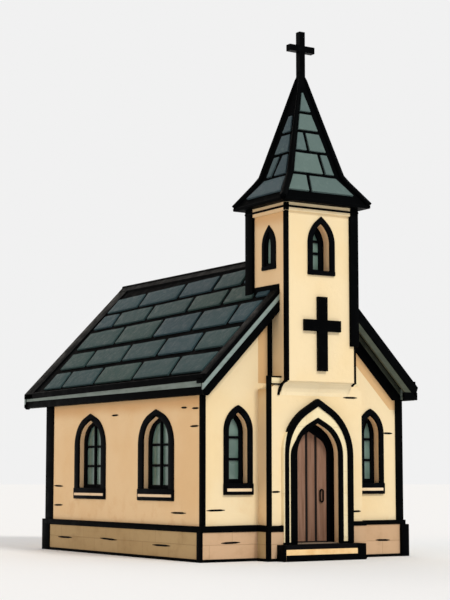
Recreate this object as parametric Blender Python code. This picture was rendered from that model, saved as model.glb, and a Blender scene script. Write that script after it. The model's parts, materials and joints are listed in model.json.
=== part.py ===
# A small country church: a nave under a steep slate roof, a door bay in its front gable,
# a tower above the bay with a slate spire and a cross, and lancet windows all round.
# Metres, +Z up. The front faces -Y. The gable wall's outer face is at Y 0 under the
# "church" empty, which moves the building's middle onto the origin.

import math

import bmesh
import bpy

# Between pieces that touch
GAP = 0.0003

# Nave
NAVE_WIDTH = 5.80
NAVE_LENGTH = 8.10
WALL = 0.40
PLINTH_TOP = 0.80
PLINTH_LEDGE = 0.06
FLOOR_TOP = 0.40

# Nave roof. Heights are to the top of the slates, depths are measured upright.
RIDGE_TOP = 7.38
EAVE_TOP = 4.20
EAVE_OVERHANG = 0.18
VERGE_FRONT = 0.32
VERGE_BACK = 0.95
SLATE_LIP = 0.06
SLATE_DEPTH = 0.15
DECK_DEPTH = 0.11
BOARD_DEPTH = 0.34
EAVES_FOOT = 3.84
FASCIA = 0.03
RIDGE_CAP_HALF = 0.17
RIDGE_CAP_DEPTH = 0.06

# Door bay, which stands in front of the gable and carries the tower
BAY_HALF = 1.357
BAY_FRONT = -0.445
BAY_SHOULDER = 4.00
BAY_TOP = 4.19
DOOR_HALF = 0.64
DOOR_REVEAL = 0.26
RECESS_HALF = 0.68
RECESS_TOP = 3.40

# Tower
TOWER_HALF = 1.00
TOWER_FRONT = -0.69
TOWER_BACK = 0.91
TOWER_WALL = 0.35
TOWER_TOP = 8.22
CORBEL_FOOT = 3.86
CORBEL_STEPS = 5
BELFRY_FLOOR_TOP = 6.42
BELFRY_FLOOR_DEPTH = 0.12
CORNICE_TOP = 8.42
CORNICE_LEDGE = 0.06

# Spire
SPIRE_OVERHANG = 0.27
SPIRE_FOOT = 8.48
SPIRE_BREAK = 9.16
SPIRE_BREAK_HALF_X = 0.765
SPIRE_BREAK_HALF_Y = 0.635
SPIRE_TOP = 11.62
SPIRE_TOP_HALF = 0.085
SPIRE_SHELL = 0.10

# Crosses
FINIAL_TOP = 12.87
FINIAL_ARM_MIDDLE = 12.44
FINIAL_ARM_HALF = 0.37
FINIAL_MEMBER = 0.16
TOWER_CROSS_FOOT = 4.44
TOWER_CROSS_TOP = 6.21
TOWER_CROSS_ARM_MIDDLE = 5.52
TOWER_CROSS_ARM_HALF = 0.53
TOWER_CROSS_MEMBER = 0.27
TOWER_CROSS_DEPTH = 0.08

# Door
SURROUND_WIDTH = 0.35
SURROUND_DEPTH = 0.09
FRAME_DEPTH = 0.10
FRAME_HALF = 0.54
STOP_DEPTH = 0.035
STOP_WIDTH = 0.025
LEAF_CLEARANCE = 0.010
LEAF_DEPTH = 0.06
HINGE_HEIGHTS = (0.75, 1.60, 2.42)
HINGE_RADIUS = 0.016
HINGE_LENGTH = 0.14
STRAP_LENGTH = 0.42
STRAP_HEIGHT = 0.05
STRAP_DEPTH = 0.010
HANDLE_X = 0.34
HANDLE_MIDDLE = 1.50
HANDLE_HALF_WIDTH = 0.05
HANDLE_HALF_HEIGHT = 0.15
HANDLE_ROD = 0.022
HANDLE_STANDOFF = 0.045
STEP_TOP = 0.38
STEP_SLAB = 0.13
STEP_HALF = 1.17
STEP_REACH = 0.37
STEP_NOSING = 0.04

# Windows
SIDE_REVEAL = 0.14
FRONT_REVEAL = 0.20
TOWER_FRONT_REVEAL = 0.25
TOWER_SIDE_REVEAL = 0.01
WINDOW_DEPTH = 0.08
WINDOW_BAR_DEPTH = 0.035
WINDOW_BAR = 0.06
GLASS_DEPTH = 0.008
ARCH_STEPS = 6
DOOR_ARCH_STEPS = 10
SIDE_WINDOW_MIDDLES = (2.12, 5.54)
FRONT_WINDOW_MIDDLES = {"left": -1.92, "right": 1.955}
TOWER_SIDE_MIDDLE = 0.03


# Pointed openings. Each side rises to "spring", curves inward, and runs straight to the
# apex at the angle "point" above level.
DOOR_ARCH = {"half": DOOR_HALF, "foot": STEP_TOP, "spring": 2.60, "apex": 3.30, "point": 38}
FRAME_ARCH = {"half": FRAME_HALF, "foot": FLOOR_TOP, "spring": 2.50, "apex": 3.07, "point": 30}
SIDE_LANCET = {
    "half": 0.62, "foot": 1.66, "spring": 2.80, "apex": 3.42, "point": 24,
    "frame": 0.09, "mullions": (0.0,), "transoms": (2.22, 2.72),
}
FRONT_LANCET = {
    "half": 0.27, "foot": 1.80, "spring": 3.00, "apex": 3.46, "point": 37,
    "frame": 0.065, "mullions": (), "transoms": (2.36, 2.87),
}
TOWER_FRONT_LANCET = {
    "half": 0.26, "foot": 6.84, "spring": 7.50, "apex": 7.99, "point": 40,
    "frame": 0.06, "mullions": (), "transoms": (7.29, 7.58),
}
TOWER_SIDE_LANCET = {
    "half": 0.18, "foot": 6.97, "spring": 7.45, "apex": 7.80, "point": 46,
    "frame": 0.06, "mullions": (), "transoms": (),
}

# Worked out from the sizes above
NAVE_HALF = NAVE_WIDTH / 2
NAVE_INNER = NAVE_HALF - WALL
EAVE_REACH = NAVE_HALF + EAVE_OVERHANG
ROOF_SLOPE = (RIDGE_TOP - EAVE_TOP) / EAVE_REACH
ROOF_DEPTH = SLATE_DEPTH + DECK_DEPTH
ROOF_FRONT = -VERGE_FRONT - SLATE_LIP
ROOF_BACK = NAVE_LENGTH + VERGE_BACK + SLATE_LIP
BOARD_REACH = EAVE_REACH - FASCIA
TOWER_MIDDLE = (TOWER_FRONT + TOWER_BACK) / 2
TOWER_HALF_DEPTH = (TOWER_BACK - TOWER_FRONT) / 2
TOWER_INNER = TOWER_HALF - TOWER_WALL
SURROUND_HALF = DOOR_HALF + SURROUND_WIDTH
RECESS_FRONT = BAY_FRONT + DOOR_REVEAL
FRAME_BACK = RECESS_FRONT + FRAME_DEPTH
LEAF_HALF = FRAME_HALF - LEAF_CLEARANCE
LEAF_FRONT = FRAME_BACK - LEAF_DEPTH
HINGE_X = -LEAF_HALF - 0.015
HINGE_Y = FRAME_BACK + HINGE_RADIUS + 0.002
FRONT_EXTENT = TOWER_FRONT - SPIRE_OVERHANG
MIDDLE_Y = (FRONT_EXTENT + ROOF_BACK) / 2


# Materials

def make_material(name, colour, roughness, metallic=0.0):
    material = bpy.data.materials.new(name)
    material.use_nodes = True
    shader = material.node_tree.nodes["Principled BSDF"]
    shader.inputs["Base Color"].default_value = (*colour, 1.0)
    shader.inputs["Roughness"].default_value = roughness
    shader.inputs["Metallic"].default_value = metallic
    return material


def make_materials():
    return {
        "render": make_material("cream_render", (0.86, 0.68, 0.41), 0.85),
        "plinth": make_material("plinth_stone", (0.56, 0.40, 0.26), 0.85),
        "dressed": make_material("dressed_stone", (0.90, 0.79, 0.52), 0.80),
        "slate": make_material("slate", (0.075, 0.115, 0.135), 0.60),
        "board": make_material("grey_board", (0.22, 0.27, 0.26), 0.60),
        "iron": make_material("black_iron", (0.012, 0.012, 0.014), 0.50),
        "frame": make_material("dark_frame", (0.015, 0.015, 0.018), 0.50),
        "planks": make_material("door_planks", (0.27, 0.15, 0.10), 0.65),
        "glass": make_material("leaded_glass", (0.12, 0.20, 0.20), 0.20),
        "timber": make_material("floor_timber", (0.32, 0.22, 0.14), 0.70),
        "flags": make_material("floor_flags", (0.42, 0.36, 0.30), 0.80),
    }


# Solids

def closed_object(name, bm, material):
    bmesh.ops.recalc_face_normals(bm, faces=bm.faces)
    mesh = bpy.data.meshes.new(name)
    bm.to_mesh(mesh)
    bm.free()
    obj = bpy.data.objects.new(name, mesh)
    bpy.context.collection.objects.link(obj)
    obj.parent = bpy.data.objects["church"]
    if material:
        mesh.materials.append(material)
    return obj


def prism(name, outline, axis, start, end, material=None):
    """A prism along X, Y or Z of an outline drawn in the plane across it."""
    place = {
        "x": lambda u, v, along: (along, u, v),
        "y": lambda u, v, along: (u, along, v),
        "z": lambda u, v, along: (u, v, along),
    }[axis]
    bm = bmesh.new()
    near = [bm.verts.new(place(u, v, start)) for u, v in outline]
    far = [bm.verts.new(place(u, v, end)) for u, v in outline]
    bm.faces.new(near)
    bm.faces.new(far)
    for i in range(len(outline)):
        j = (i + 1) % len(outline)
        bm.faces.new((near[i], near[j], far[j], far[i]))
    return closed_object(name, bm, material)


def box(name, low, high, material=None):
    outline = rectangle(low[0], high[0], low[1], high[1])
    return prism(name, outline, "z", low[2], high[2], material)


def rod(name, axis, middle, start, end, radius, sides=12, material=None):
    turns = [2 * math.pi * i / sides for i in range(sides)]
    outline = [(middle[0] + radius * math.cos(a), middle[1] + radius * math.sin(a)) for a in turns]
    return prism(name, outline, axis, start, end, material)


def combine(target, other, operation):
    """Cuts another solid from the target, or joins it on. The other is only a guide."""
    other.hide_render = True
    other.display_type = "WIRE"
    modifier = target.modifiers.new(other.name, "BOOLEAN")
    modifier.operation = operation
    modifier.solver = "EXACT"
    modifier.object = other
    return target


def cut(target, other):
    return combine(target, other, "DIFFERENCE")


def join(target, other):
    return combine(target, other, "UNION")


# Outlines

def rectangle(left, right, low, high):
    return [(left, low), (right, low), (right, high), (left, high)]


def mirrored(outline):
    return [(-u, v) for u, v in outline]


def pointed(shape, inset=0.0, middle=0.0, foot=None, steps=ARCH_STEPS):
    """A pointed opening's outline, drawn inside itself by the inset."""
    point = math.radians(shape["point"])
    turn = math.pi / 2 - point
    rise = shape["apex"] - shape["spring"]
    radius = (rise - shape["half"] * math.tan(point)) / (math.sin(turn) - (1 - math.cos(turn)) * math.tan(point))
    centre = shape["half"] - radius
    inner = radius - inset
    low = shape["foot"] + inset if foot is None else foot
    right = [(shape["half"] - inset, low)]
    for i in range(steps + 1):
        angle = turn * i / steps
        right.append((centre + inner * math.cos(angle), shape["spring"] + inner * math.sin(angle)))
    apex = (0.0, shape["apex"] - inset / math.cos(point))
    outline = right + [apex] + [(-u, v) for u, v in reversed(right)]
    return [(u + middle, v) for u, v in outline]


def cross_outline(foot, top, arm_middle, arm_half, member):
    half = member / 2
    return [
        (-half, foot), (half, foot), (half, arm_middle - half), (arm_half, arm_middle - half),
        (arm_half, arm_middle + half), (half, arm_middle + half), (half, top), (-half, top),
        (-half, arm_middle + half), (-arm_half, arm_middle + half), (-arm_half, arm_middle - half),
        (-half, arm_middle - half),
    ]


def oval(half_width, half_height, middle, steps=6):
    """An upright oval with straight sides and round ends."""
    straight = half_height - half_width
    ends = []
    for lift, start in ((straight, 0.0), (-straight, math.pi)):
        for i in range(steps + 1):
            angle = start + math.pi * i / steps
            ends.append((middle[0] + half_width * math.cos(angle), middle[1] + lift + half_width * math.sin(angle)))
    return ends


# Roof lines

def slate_line(x):
    return RIDGE_TOP - ROOF_SLOPE * abs(x)


def under_slates(x):
    return slate_line(x) - SLATE_DEPTH


def under_roof(x):
    return slate_line(x) - ROOF_DEPTH


# Walls

def plinth_outline():
    """The left base course in plan: along the side, round the corner and under the bay's pier."""
    outer = -NAVE_HALF - PLINTH_LEDGE
    back = NAVE_LENGTH + PLINTH_LEDGE
    bay_side = -BAY_HALF - PLINTH_LEDGE
    bay_front = BAY_FRONT - PLINTH_LEDGE
    beside_surround = -SURROUND_HALF - GAP
    return [
        (outer, -PLINTH_LEDGE), (bay_side, -PLINTH_LEDGE), (bay_side, bay_front),
        (beside_surround, bay_front), (beside_surround, BAY_FRONT), (-DOOR_HALF, BAY_FRONT),
        (-DOOR_HALF, RECESS_FRONT), (-RECESS_HALF, RECESS_FRONT), (-RECESS_HALF, WALL),
        (-NAVE_INNER, WALL), (-NAVE_INNER, back), (outer, back),
    ]


def make_plinths(material):
    left = plinth_outline()
    prism("plinth_left", left, "z", 0.0, PLINTH_TOP, material)
    prism("plinth_right", mirrored(left), "z", 0.0, PLINTH_TOP, material)
    low = (-NAVE_INNER + GAP, NAVE_LENGTH - WALL, 0.0)
    high = (NAVE_INNER - GAP, NAVE_LENGTH + PLINTH_LEDGE, PLINTH_TOP)
    box("plinth_back", low, high, material)


def make_floor(material):
    door = DOOR_HALF - GAP
    recess = RECESS_HALF - GAP
    side = NAVE_INNER - GAP
    front = WALL + GAP
    back = NAVE_LENGTH - WALL - GAP
    left = [(-door, BAY_FRONT), (-door, RECESS_FRONT + GAP), (-recess, RECESS_FRONT + GAP), (-recess, front),
            (-side, front), (-side, back)]
    outline = left + list(reversed(mirrored(left)))
    prism("floor", outline, "z", 0.0, FLOOR_TOP, material)


def side_wall_outline():
    foot = PLINTH_TOP + GAP
    return [
        (-NAVE_HALF, foot), (-NAVE_INNER, foot),
        (-NAVE_INNER, under_roof(NAVE_INNER) - GAP), (-NAVE_HALF, under_roof(NAVE_HALF) - GAP),
    ]


def front_wall_outline():
    """The left part of the front gable, beside the bay and then beside the tower."""
    foot = PLINTH_TOP + GAP
    inner = -NAVE_INNER + GAP
    bay = -BAY_HALF - GAP
    tower = -TOWER_HALF - GAP
    return [
        (inner, foot), (bay, foot), (bay, BAY_SHOULDER + GAP), (tower, BAY_TOP + GAP),
        (tower, under_roof(tower) - GAP), (inner, under_roof(inner) - GAP),
    ]


def back_wall_outline():
    foot = PLINTH_TOP + GAP
    side = NAVE_INNER - GAP
    top = under_roof(side) - GAP
    return [(-side, foot), (side, foot), (side, top), (0.0, under_roof(0.0) - GAP), (-side, top)]


def make_nave_walls(material):
    left = side_wall_outline()
    front = front_wall_outline()
    for side, sign, mirror in (("left", -1, list), ("right", 1, mirrored)):
        wall = prism(f"wall_{side}", mirror(left), "y", 0.0, NAVE_LENGTH, material)
        for number, middle in enumerate(SIDE_WINDOW_MIDDLES, 1):
            through = (sign * (NAVE_HALF + WALL), sign * (NAVE_INNER - WALL))
            hole = prism(f"hole_{side}_{number}", pointed(SIDE_LANCET, middle=middle), "x", *through)
            cut(wall, hole)
        wall = prism(f"wall_front_{side}", mirror(front), "y", 0.0, WALL, material)
        hole = prism(f"hole_front_{side}", pointed(FRONT_LANCET, middle=FRONT_WINDOW_MIDDLES[side]),
                     "y", -WALL, 2 * WALL)
        cut(wall, hole)
    wall = prism("wall_back", back_wall_outline(), "y", NAVE_LENGTH - WALL, NAVE_LENGTH, material)
    hole = prism("hole_back", pointed(SIDE_LANCET), "y", NAVE_LENGTH - 2 * WALL, NAVE_LENGTH + WALL)
    cut(wall, hole)


def make_bay(material):
    """Two piers and a pointed head, with a deeper square recess behind for the open leaf."""
    side = -BAY_HALF
    pier = [
        (side, BAY_FRONT), (-DOOR_HALF, BAY_FRONT), (-DOOR_HALF, RECESS_FRONT),
        (-RECESS_HALF, RECESS_FRONT), (-RECESS_HALF, WALL), (side, WALL),
    ]
    foot = PLINTH_TOP + GAP
    prism("bay_pier_left", pier, "z", foot, DOOR_ARCH["spring"] - GAP, material)
    prism("bay_pier_right", mirrored(pier), "z", foot, DOOR_ARCH["spring"] - GAP, material)

    left = [(-BAY_HALF, DOOR_ARCH["spring"]), (-BAY_HALF, BAY_SHOULDER), (-TOWER_HALF, BAY_TOP)]
    outline = left + list(reversed(mirrored(left)))
    head = prism("bay_head", outline, "y", BAY_FRONT, WALL, material)
    arch = pointed(DOOR_ARCH, steps=DOOR_ARCH_STEPS)
    cut(head, prism("hole_door_arch", arch, "y", BAY_FRONT - WALL, 0.0))
    recess = rectangle(-RECESS_HALF, RECESS_HALF, FLOOR_TOP, RECESS_TOP)
    cut(head, prism("hole_door_recess", recess, "y", RECESS_FRONT, 2 * WALL))


def make_lobby_arch(material):
    """The inner wall between lobby and nave, which carries the tower's back wall."""
    left = [
        (-RECESS_HALF, RECESS_TOP), (-RECESS_HALF, FLOOR_TOP + GAP), (-TOWER_HALF, FLOOR_TOP + GAP),
        (-TOWER_HALF, BAY_TOP),
    ]
    outline = left + list(reversed(mirrored(left)))
    prism("lobby_arch", outline, "y", WALL + GAP, TOWER_BACK, material)


def make_tower_walls(material):
    foot = BAY_TOP + GAP
    front_inner = TOWER_FRONT + TOWER_WALL
    back_inner = TOWER_BACK - TOWER_WALL
    front = box("tower_wall_front", (-TOWER_HALF, TOWER_FRONT, foot), (TOWER_HALF, front_inner, TOWER_TOP), material)
    hole = prism("hole_tower_front", pointed(TOWER_FRONT_LANCET), "y", TOWER_FRONT - WALL, front_inner + WALL)
    cut(front, hole)
    for side, sign in (("left", -1), ("right", 1)):
        near, far = sorted((sign * TOWER_HALF, sign * TOWER_INNER))
        wall = box(f"tower_wall_{side}", (near, front_inner + GAP, foot), (far, TOWER_BACK, TOWER_TOP), material)
        hole = prism(f"hole_tower_{side}", pointed(TOWER_SIDE_LANCET, middle=TOWER_SIDE_MIDDLE),
                     "x", near - WALL, far + WALL)
        cut(wall, hole)
    inner = TOWER_INNER - GAP
    box("tower_wall_back", (-inner, back_inner, foot), (inner, TOWER_BACK, TOWER_TOP), material)


def make_corbel(material):
    """A cove under the tower's front, which stands a little forward of the bay."""
    back = BAY_FRONT - GAP
    reach = back - TOWER_FRONT
    rise = BAY_TOP - CORBEL_FOOT
    curve = []
    for i in range(CORBEL_STEPS + 1):
        angle = math.pi / 2 * i / CORBEL_STEPS
        curve.append((back - reach * (1 - math.cos(angle)), CORBEL_FOOT + rise * math.sin(angle) ** 1.2))
    prism("tower_corbel", curve + [(back, BAY_TOP)], "x", -TOWER_HALF, TOWER_HALF, material)


def make_belfry_floor(material):
    side = TOWER_INNER - GAP
    front = TOWER_FRONT + TOWER_WALL + GAP
    back = TOWER_BACK - TOWER_WALL - GAP
    low = (-side, front, BELFRY_FLOOR_TOP - BELFRY_FLOOR_DEPTH)
    box("belfry_floor", low, (side, back, BELFRY_FLOOR_TOP), material)


def tower_ring(name, overhang, foot, top, material):
    """A flat ring on the tower's walls, open inside them."""
    def corners(reach):
        return rectangle(-TOWER_HALF - reach, TOWER_HALF + reach, TOWER_FRONT - reach, TOWER_BACK + reach)

    ring = prism(name, corners(overhang), "z", foot, top, material)
    hole = prism(f"hole_{name}", corners(-TOWER_WALL), "z", foot - WALL, top + WALL)
    return cut(ring, hole)


# Spire

def make_spire(material):
    """A hollow four-sided spire that flares out to its eaves."""
    foot = SPIRE_FOOT + GAP
    outer = [
        (TOWER_HALF + SPIRE_OVERHANG, TOWER_HALF_DEPTH + SPIRE_OVERHANG, foot),
        (SPIRE_BREAK_HALF_X, SPIRE_BREAK_HALF_Y, SPIRE_BREAK),
        (SPIRE_TOP_HALF, SPIRE_TOP_HALF, SPIRE_TOP),
    ]
    inner = [
        (TOWER_HALF, TOWER_HALF_DEPTH, foot),
        (SPIRE_BREAK_HALF_X - SPIRE_SHELL, SPIRE_BREAK_HALF_Y - SPIRE_SHELL, SPIRE_BREAK),
        (SPIRE_SHELL / 4, SPIRE_SHELL / 4, SPIRE_TOP - 4 * SPIRE_SHELL),
    ]
    bm = bmesh.new()

    def ring(half_x, half_y, z):
        corners = rectangle(-half_x, half_x, TOWER_MIDDLE - half_y, TOWER_MIDDLE + half_y)
        return [bm.verts.new((x, y, z)) for x, y in corners]

    def band(low, high):
        for i in range(4):
            j = (i + 1) % 4
            bm.faces.new((low[i], low[j], high[j], high[i]))

    outer_rings = [ring(*sizes) for sizes in outer]
    inner_rings = [ring(*sizes) for sizes in inner]
    band(inner_rings[0], outer_rings[0])
    for rings in (outer_rings, inner_rings):
        band(rings[0], rings[1])
        band(rings[1], rings[2])
        bm.faces.new(rings[2])
    return closed_object("spire", bm, material)


def make_crosses(material):
    finial = cross_outline(SPIRE_TOP + GAP, FINIAL_TOP, FINIAL_ARM_MIDDLE, FINIAL_ARM_HALF, FINIAL_MEMBER)
    half = FINIAL_MEMBER / 2
    prism("spire_cross", finial, "y", TOWER_MIDDLE - half, TOWER_MIDDLE + half, material)
    face = TOWER_FRONT - GAP
    wall_cross = cross_outline(TOWER_CROSS_FOOT, TOWER_CROSS_TOP, TOWER_CROSS_ARM_MIDDLE,
                               TOWER_CROSS_ARM_HALF, TOWER_CROSS_MEMBER)
    prism("tower_cross", wall_cross, "y", face - TOWER_CROSS_DEPTH, face, material)


# Nave roof

def roof_layer(name, side, eave, front, back, top, foot, material=None):
    """One layer of a roof slope, notched round the tower. Top and foot are lines over X."""
    notch = TOWER_HALF + GAP
    behind = TOWER_BACK + GAP
    plan = [(GAP / 2, back), (GAP / 2, behind), (notch, behind), (notch, front), (eave, front), (eave, back)]
    bm = bmesh.new()
    low = [bm.verts.new((side * x, y, foot(x))) for x, y in plan]
    high = [bm.verts.new((side * x, y, top(x))) for x, y in plan]
    bm.faces.new(low)
    bm.faces.new(high)
    for i in range(len(plan)):
        j = (i + 1) % len(plan)
        bm.faces.new((low[i], low[j], high[j], high[i]))
    return closed_object(name, bm, material)


def make_roof(material):
    for name, side in (("left", -1), ("right", 1)):
        slates = roof_layer(f"roof_{name}", side, EAVE_REACH, ROOF_FRONT, ROOF_BACK, slate_line, under_slates, material)
        deck = roof_layer(f"deck_{name}", side, BOARD_REACH - FASCIA, -VERGE_FRONT, NAVE_LENGTH + VERGE_BACK,
                          lambda x: slate_line(x) - SLATE_DEPTH / 2, under_roof)
        join(slates, deck)


def make_ridge_cap(material):
    half = RIDGE_CAP_HALF
    lift = GAP
    outline = [
        (-half, slate_line(half) + lift), (0.0, RIDGE_TOP + lift), (half, slate_line(half) + lift),
        (half, slate_line(half) + RIDGE_CAP_DEPTH), (0.0, RIDGE_TOP + RIDGE_CAP_DEPTH),
        (-half, slate_line(half) + RIDGE_CAP_DEPTH),
    ]
    prism("ridge_cap", outline, "y", TOWER_BACK + GAP, ROOF_BACK, material)


def make_eaves(material):
    """Closed eaves under the slates' edge: a fascia with a level soffit back to the wall."""
    wall = NAVE_HALF + GAP
    fascia_back = BOARD_REACH - FASCIA + GAP
    right = [
        (wall, EAVES_FOOT), (BOARD_REACH, EAVES_FOOT), (BOARD_REACH, under_slates(BOARD_REACH) - GAP),
        (fascia_back, under_slates(fascia_back) - GAP), (fascia_back, under_roof(fascia_back) - GAP),
        (wall, under_roof(wall) - GAP),
    ]
    back = NAVE_LENGTH + VERGE_BACK
    prism("eaves_right", right, "y", -VERGE_FRONT, back, material)
    prism("eaves_left", mirrored(right), "y", -VERGE_FRONT, back, material)


def make_bargeboards(material):
    """Boards on the verges, cut level with the eaves at their feet."""
    def top(x):
        return under_slates(x) - GAP

    def foot(x):
        return top(x) - BOARD_DEPTH

    level = (foot(0.0) - EAVES_FOOT) / ROOF_SLOPE
    tower = TOWER_HALF + GAP
    front = [
        (tower, foot(tower)), (level, EAVES_FOOT), (BOARD_REACH, EAVES_FOOT),
        (BOARD_REACH, top(BOARD_REACH)), (tower, top(tower)),
    ]
    near = (ROOF_FRONT, -VERGE_FRONT - GAP)
    prism("bargeboard_front_right", front, "y", *near, material)
    prism("bargeboard_front_left", mirrored(front), "y", *near, material)
    half = [(0.0, foot(0.0)), (level, EAVES_FOOT), (BOARD_REACH, EAVES_FOOT), (BOARD_REACH, top(BOARD_REACH)),
            (0.0, top(0.0))]
    back = half + [(-x, z) for x, z in reversed(half[1:4])]
    prism("bargeboard_back", back, "y", NAVE_LENGTH + VERGE_BACK + GAP, ROOF_BACK, material)


# Door

def make_door_surround(material):
    outer = pointed(DOOR_ARCH, -SURROUND_WIDTH, foot=STEP_TOP + GAP, steps=DOOR_ARCH_STEPS)
    face = BAY_FRONT - GAP
    ring = prism("door_surround", outer, "y", face - SURROUND_DEPTH, face, material)
    arch = pointed(DOOR_ARCH, foot=0.0, steps=DOOR_ARCH_STEPS)
    cut(ring, prism("hole_surround", arch, "y", face - WALL, face + WALL))


def make_door_frame(material):
    """A rebated frame behind the masonry's nib. Its front part is the stop for the leaf."""
    front = RECESS_FRONT + GAP
    outer = pointed(DOOR_ARCH, DOOR_HALF - RECESS_HALF + GAP, foot=FLOOR_TOP + GAP, steps=DOOR_ARCH_STEPS)
    frame = prism("door_frame", outer, "y", front, FRAME_BACK, material)
    rebate = pointed(FRAME_ARCH, foot=0.0, steps=DOOR_ARCH_STEPS)
    cut(frame, prism("hole_frame_rebate", rebate, "y", front + STOP_DEPTH, FRAME_BACK + WALL))
    stop = pointed(FRAME_ARCH, STOP_WIDTH, foot=0.0, steps=DOOR_ARCH_STEPS)
    cut(frame, prism("hole_frame_stop", stop, "y", front - WALL, FRAME_BACK))


def make_door_leaf(material):
    outline = pointed(FRAME_ARCH, LEAF_CLEARANCE, steps=DOOR_ARCH_STEPS)
    leaf = prism("door_leaf", outline, "y", LEAF_FRONT, FRAME_BACK, material)
    strap_start = HINGE_X + STRAP_DEPTH
    for number, height in enumerate(HINGE_HEIGHTS, 1):
        low = (strap_start, FRAME_BACK - 0.002, height - STRAP_HEIGHT / 2)
        high = (strap_start + STRAP_LENGTH, FRAME_BACK + STRAP_DEPTH, height + STRAP_HEIGHT / 2)
        join(leaf, box(f"strap_{number}", low, high))
        half = HINGE_LENGTH / 2
        join(leaf, rod(f"barrel_{number}", "z", (HINGE_X, HINGE_Y), height - half, height + half, HINGE_RADIUS))


def make_door_handle(material):
    """An upright oval pull on two short posts."""
    middle = (HANDLE_X, HANDLE_MIDDLE)
    face = LEAF_FRONT - GAP
    front = face - HANDLE_STANDOFF - HANDLE_ROD
    handle = prism("door_handle", oval(HANDLE_HALF_WIDTH, HANDLE_HALF_HEIGHT, middle), "y",
                   front, face - HANDLE_STANDOFF, material)
    inside = oval(HANDLE_HALF_WIDTH - HANDLE_ROD, HANDLE_HALF_HEIGHT - HANDLE_ROD, middle)
    cut(handle, prism("hole_handle", inside, "y", front - HANDLE_ROD, face))
    reach = HANDLE_HALF_HEIGHT - HANDLE_ROD / 2
    for number, lift in enumerate((-reach, reach), 1):
        post = rod(f"handle_post_{number}", "y", (HANDLE_X, HANDLE_MIDDLE + lift),
                   face - HANDLE_STANDOFF - HANDLE_ROD / 2, face, HANDLE_ROD / 2 - 0.001, sides=10)
        join(handle, post)


def make_door_step(material):
    """A stone step: a slab with a nosing on a narrower block, notched round the plinth."""
    wall = BAY_FRONT - GAP
    plinth = BAY_FRONT - PLINTH_LEDGE - GAP
    front = BAY_FRONT - STEP_REACH

    def plan(inset):
        half = STEP_HALF - inset
        beside = SURROUND_HALF - GAP
        right = [(half, front + inset), (half, plinth), (beside, plinth), (beside, wall)]
        return right + [(-x, y) for x, y in reversed(right)]

    step = prism("door_step", plan(0.0), "z", STEP_TOP - STEP_SLAB, STEP_TOP, material)
    block = prism("step_block", plan(STEP_NOSING), "z", 0.0, STEP_TOP - STEP_SLAB / 2)
    join(step, block)


# Windows

def make_window(name, shape, middle, axis, face, inward, reveal, frame_material, glass_material):
    """A frame with its bars, and the pane behind them, set back from a wall's outer face."""
    def depth(near, far):
        return (face + inward * near, face + inward * far)

    width = shape["frame"]
    ring = pointed(shape, GAP, middle)
    frame = prism(f"window_{name}", ring, axis, *depth(reveal, reveal + WINDOW_DEPTH), frame_material)
    light = pointed(shape, width, middle)
    cut(frame, prism(f"light_{name}", light, axis, *depth(reveal - WALL, reveal + WALL)))

    bars_near = reveal + 0.010
    bars_far = bars_near + WINDOW_BAR_DEPTH
    half_bar = WINDOW_BAR / 2
    into_frame = width / 2
    for number, offset in enumerate(shape["mullions"], 1):
        light_apex = max(v for u, v in light)
        outline = rectangle(middle + offset - half_bar, middle + offset + half_bar,
                            shape["foot"] + into_frame, (light_apex + shape["apex"]) / 2)
        join(frame, prism(f"mullion_{name}_{number}", outline, axis, *depth(bars_near, bars_far)))
    side = shape["half"] - into_frame
    for number, height in enumerate(shape["transoms"], 1):
        outline = rectangle(middle - side, middle + side, height - half_bar, height + half_bar)
        join(frame, prism(f"transom_{name}_{number}", outline, axis, *depth(bars_near, bars_far)))

    pane = pointed(shape, width + GAP, middle)
    near = bars_far + GAP
    prism(f"glass_{name}", pane, axis, *depth(near, near + GLASS_DEPTH), glass_material)


def make_windows(frame, glass):
    for side, sign in (("left", -1), ("right", 1)):
        for place, middle in zip(("front", "back"), SIDE_WINDOW_MIDDLES):
            make_window(f"{side}_{place}", SIDE_LANCET, middle, "x", sign * NAVE_HALF, -sign, SIDE_REVEAL,
                        frame, glass)
        make_window(f"front_{side}", FRONT_LANCET, FRONT_WINDOW_MIDDLES[side], "y", 0.0, 1, FRONT_REVEAL,
                    frame, glass)
        make_window(f"tower_{side}", TOWER_SIDE_LANCET, TOWER_SIDE_MIDDLE, "x", sign * TOWER_HALF, -sign,
                    TOWER_SIDE_REVEAL, frame, glass)
    make_window("tower_front", TOWER_FRONT_LANCET, 0.0, "y", TOWER_FRONT, 1, TOWER_FRONT_REVEAL, frame, glass)
    make_window("back", SIDE_LANCET, 0.0, "y", NAVE_LENGTH, -1, SIDE_REVEAL, frame, glass)


def main():
    for obj in list(bpy.data.objects):
        bpy.data.objects.remove(obj)
    church = bpy.data.objects.new("church", None)
    bpy.context.collection.objects.link(church)
    church.location.y = -MIDDLE_Y
    materials = make_materials()

    make_floor(materials["flags"])
    make_plinths(materials["plinth"])
    make_nave_walls(materials["render"])
    make_bay(materials["render"])
    make_lobby_arch(materials["render"])

    make_tower_walls(materials["render"])
    make_corbel(materials["render"])
    make_belfry_floor(materials["timber"])
    tower_ring("tower_cornice", CORNICE_LEDGE, TOWER_TOP + GAP, CORNICE_TOP, materials["dressed"])
    tower_ring("spire_eaves", SPIRE_OVERHANG, CORNICE_TOP + GAP, SPIRE_FOOT, materials["iron"])
    make_spire(materials["slate"])
    make_crosses(materials["iron"])

    make_roof(materials["slate"])
    make_ridge_cap(materials["iron"])
    make_eaves(materials["board"])
    make_bargeboards(materials["board"])

    make_door_surround(materials["dressed"])
    make_door_frame(materials["frame"])
    make_door_leaf(materials["planks"])
    make_door_handle(materials["iron"])
    make_door_step(materials["dressed"])
    make_windows(materials["frame"], materials["glass"])


main()
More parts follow.
